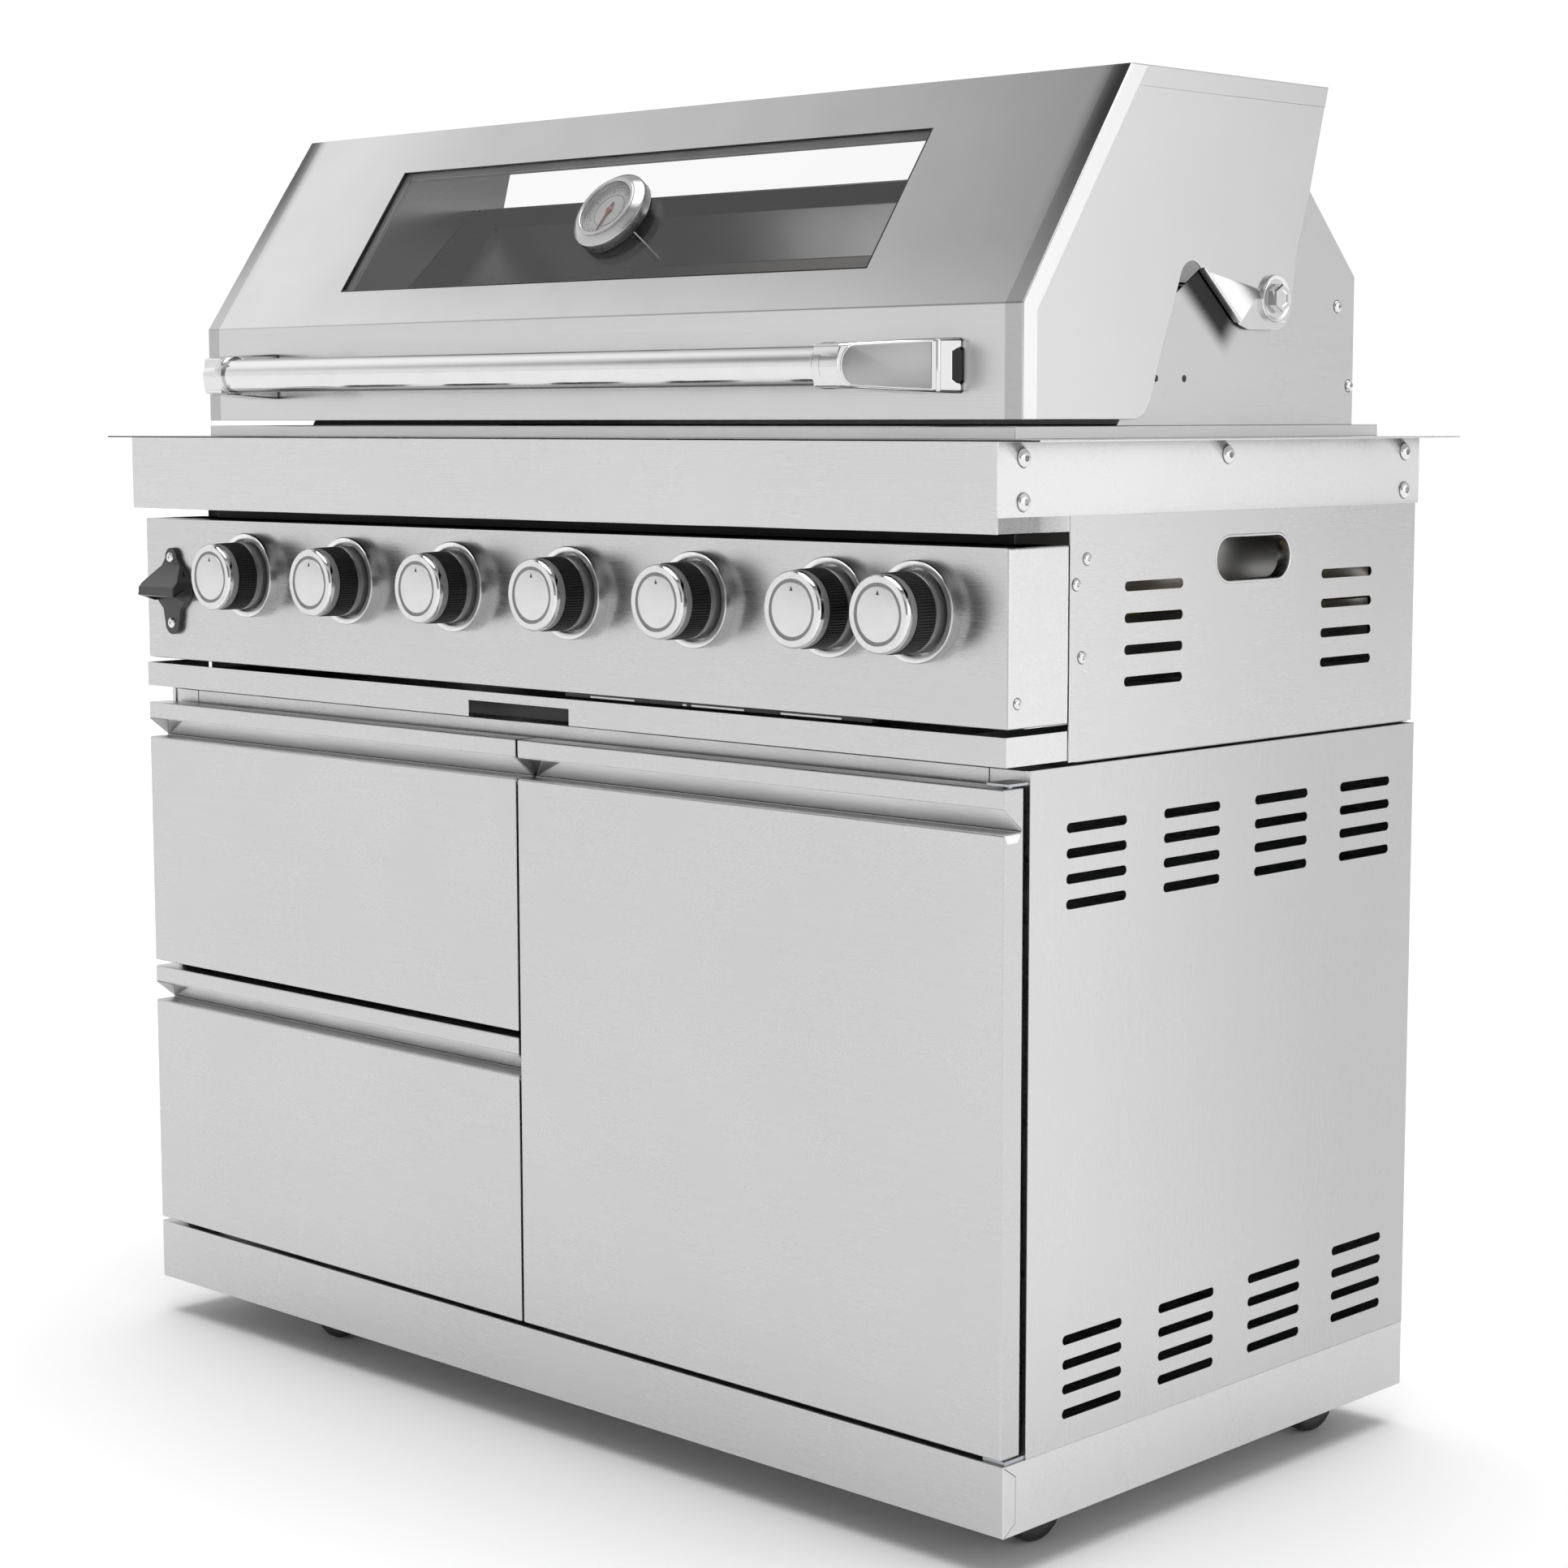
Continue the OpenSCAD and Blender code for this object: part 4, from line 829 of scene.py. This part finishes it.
pivot = joint_at["lid_hinge"]
boss_x = max(abs(lid_low.x), abs(lid_high.x))
for side, axis, tag in SIDES:
    spin(f"hinge_washer_{tag}",
         [(5.2, -0.4), (6.5, -1.6), (10, -2.0), (15, -0.6), (19, 1.0), (20.6, 1.0), (21.2, 0.4), (21.2, -2.8),
          (5.2, -2.8)], 72, CHROME, "lid", (), facing(side * (boss_x - 0.2), pivot.y, pivot.z, axis))
    spin(f"hinge_bolt_{tag}",
         [(0, 0), (12.6, 0), (12.8, 0.6), (12.8, 6.0), (11.4, 7.2), (7.6, 7.2), (7.0, 6.4), (0, 6.4)], 6, CHROME,
         "frame", ("lid_hinge_bolts",) if side < 0 else (),
         facing(side * (boss_x + 0.3), pivot.y, pivot.z, axis), 20)
    spin(f"hinge_nut_{tag}", [(0, -14), (8.2, -14), (8.8, -13), (8.8, -8), (5, -8), (5, 7), (0, 7)], 36, ZINC,
         "frame", (), facing(side * (boss_x - 1), pivot.y, pivot.z, axis), 20)
    # Small pressed pits in the housing's side plates, black inside as painted shade.
    for index, d in enumerate((283, 243)):
        spin(f"housing_pit_{tag}_{index}", [(0, 0.02), (2.5, 0.02), (3.1, 0.05), (3.1, -0.6), (0, -0.6)], 32,
             GASKET, "frame", (), facing(side * housing_side, depth(d), lid_bottom + 34.7, axis), 30)


# ------------------------------------------------------------------ igniter button

low, high = span("igniter_button")
spin("igniter_button_look",
     [(0, 0), (7.6, 0), (7.9, 0.6), (7.9, 6.6), (7.4, 7.6), (6.4, 8.0), (5.6, 7.7), (0, 7.5)], 48, CHROME,
     "igniter_button", ("igniter_button",),
     facing((low.x + high.x) / 2, front_y, (low.z + high.z) / 2, "-y"))


# ------------------------------------------------------------------ casters

for i in range(1, 5):
    low, high = span(f"caster_wheel_{i}")
    size = high - low
    r, half = size.z / 2, min(size.x, size.y) / 2
    rim = r * 0.66
    place = facing(*((low + high) / 2), "-y" if size.y < size.x else "+x")
    spin(f"caster_tyre_{i}",
         [(r * 0.64, -half + 1.5), (r * 0.72, -half), (r - 3.2, -half), (r - 1.2, -half + 0.8), (r, -half + 3),
          (r, half - 3), (r - 1.2, half - 0.8), (r - 3.2, half), (r * 0.72, half), (r * 0.64, half - 1.5)], 72,
         RUBBER, f"wheel_{i}", (f"caster_wheel_{i}",), place)
    spin(f"caster_hub_{i}",
         [(3.6, -half + 0.6), (7, -half + 0.6), (8, -half + 2.4), (rim - 1.4, -half + 3.4), (rim, -half + 1.0),
          (rim, half - 1.0), (rim - 1.4, half - 3.4), (8, half - 2.4), (7, half - 0.6), (3.6, half - 0.6)], 48,
         GRIP, f"wheel_{i}", (), place)


# ------------------------------------------------------------------ hand holes and door bumpers

HOLE_Y, HOLE_Z = depth(333.5), body_low.z + 159.5
for side, axis, tag in SIDES:
    rim = bmesh.new()
    skin(rim, [[rim.verts.new((x, y, height)) for x, y in oval(length, width)] for length, width, height in
               ((112, 42, 1.2), (110, 40, 1.7), (108, 38, 1.2), (106.4, 36.4, -2.0), (106.4, 36.4, -11.0),
                (112, 42, -11.0))])
    turn = Matrix(((0, 0, side, 0), (1, 0, 0, 0), (0, 1, 0, 0), (0, 0, 0, 1)))
    add_object(f"hand_hole_rim_{tag}", rim, SATIN_CHROME, "frame", (),
               at(side * (body_high.x - 1.2), HOLE_Y, HOLE_Z) @ turn, 40)

low, high = span("cabinet_door")
for z in (low.z + 30, high.z - 60, (low.z + high.z) / 2, low.z + 150):
    spin(f"door_bumper_{int(z)}", [(0, 0), (3.6, 0), (3.8, 1.2), (3.0, 2.4), (0, 2.9)], 24, GRIP, "door",
         (), facing(high.x - 5, high.y, z, "+y"))


# ------------------------------------------------------------------ studio

floor_bm = bmesh.new()
bmesh.ops.create_grid(floor_bm, x_segments=1, y_segments=1, size=30.0)
floor_mesh = bpy.data.meshes.new("floor")
floor_bm.to_mesh(floor_mesh)
floor_bm.free()
floor = bpy.data.objects.new("floor", floor_mesh)
scene.collection.objects.link(floor)
FLOOR, tree, shader = new_material("pale_floor")
tree.links.new(ramp(tree, noise(tree, 2.0, 3), grey(0.955), grey(0.965)), shader.inputs["Base Color"])
shader.inputs["Roughness"].default_value = 0.7
shader.inputs["Specular IOR Level"].default_value = 0.2
floor_mesh.materials.append(FLOOR)
floor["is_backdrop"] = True

world = bpy.data.worlds.new("studio")
scene.world = world
world.use_nodes = True
tree = world.node_tree
direction = add_node(tree, "TexCoord", {}, "Generated")

# Light by height: even round the horizon, dimmer above, and bright overhead.
SKY = ((0.0, 1.0), (0.5, 1.02), (0.60, 1.0), (0.74, 0.72), (0.86, 0.60), (0.92, 0.12), (0.935, 0.10), (0.95, 3.0),
       (1.0, 4.2))
sky = tree.nodes.new("ShaderNodeValToRGB")
while len(sky.color_ramp.elements) < len(SKY):
    sky.color_ramp.elements.new(0.5)
for element, (position, value) in zip(sky.color_ramp.elements, SKY):
    element.position = position
    element.color = (*grey(value), 1)
split = tree.nodes.new("ShaderNodeSeparateXYZ")
tree.links.new(direction, split.inputs["Vector"])
tree.links.new(remap(tree, split.outputs["Z"], 0, 1, (-1, 1)), sky.inputs["Fac"])
light = add_node(tree, "RGBToBW", {"Color": sky.outputs["Color"]}, "Val")

# Soft round patches of light, or of shade where the gain is negative: direction, inner and outer angle, gain.
for toward, inner, outer, gain in (
        ((-0.97, -0.10, 0.62), 6, 28, 0.55), ((-0.45, -0.66, 0.72), 8, 34, -0.46),
        ((0.33, 0.94, -0.02), 3, 34, -0.50), ((0.92, 0.38, 0.06), 12, 46, 0.55),
        ((0.69, -0.715, 0.14), 8, 34, -0.72)):
    near = add_node(tree, "VectorMath", {0: direction, 1: Vector(toward).normalized()}, "Value",
                    operation="DOT_PRODUCT")
    edges = math.cos(math.radians(outer)), math.cos(math.radians(inner))
    patch = remap(tree, near, 0, gain, edges, "SMOOTHSTEP")
    light = add_node(tree, "Math", {0: light, 1: patch}, "Value", operation="ADD")

# The studio's shaded patches light the object, but the backdrop itself is plain and pale.
seen = add_node(tree, "LightPath", {}, "Is Camera Ray")
backdrop = add_node(tree, "Math", {0: light, 1: seen}, "Value", operation="MAXIMUM")
background = tree.nodes["Background"]
tree.links.new(backdrop, background.inputs["Color"])
background.inputs["Strength"].default_value = 1.0

scene.view_settings.view_transform = "Standard"
scene.cycles.use_denoising = True

# The camera stands to the right of the front, a little above the counter.
CAMERA_M = (2.2096, -2.2077, 0.9575)
azimuth, pitch, roll = math.radians(43.92), math.radians(6.61), math.radians(-0.112)
forward = Vector((-math.sin(azimuth) * math.cos(pitch), math.cos(azimuth) * math.cos(pitch), -math.sin(pitch)))
right = Vector((math.cos(azimuth), math.sin(azimuth), 0))
up = right.cross(forward)
right, up = right * math.cos(roll) + up * math.sin(roll), up * math.cos(roll) - right * math.sin(roll)
camera_data = bpy.data.cameras.new("camera")
camera_data.lens = 72.75
camera_data.sensor_width = 36.0
camera_data.clip_end = 100.0
camera = bpy.data.objects.new("camera", camera_data)
scene.collection.objects.link(camera)
camera.matrix_world = Matrix((*((right[i], up[i], -forward[i], CAMERA_M[i]) for i in range(3)), (0, 0, 0, 1)))
scene.camera = camera

low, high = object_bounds()
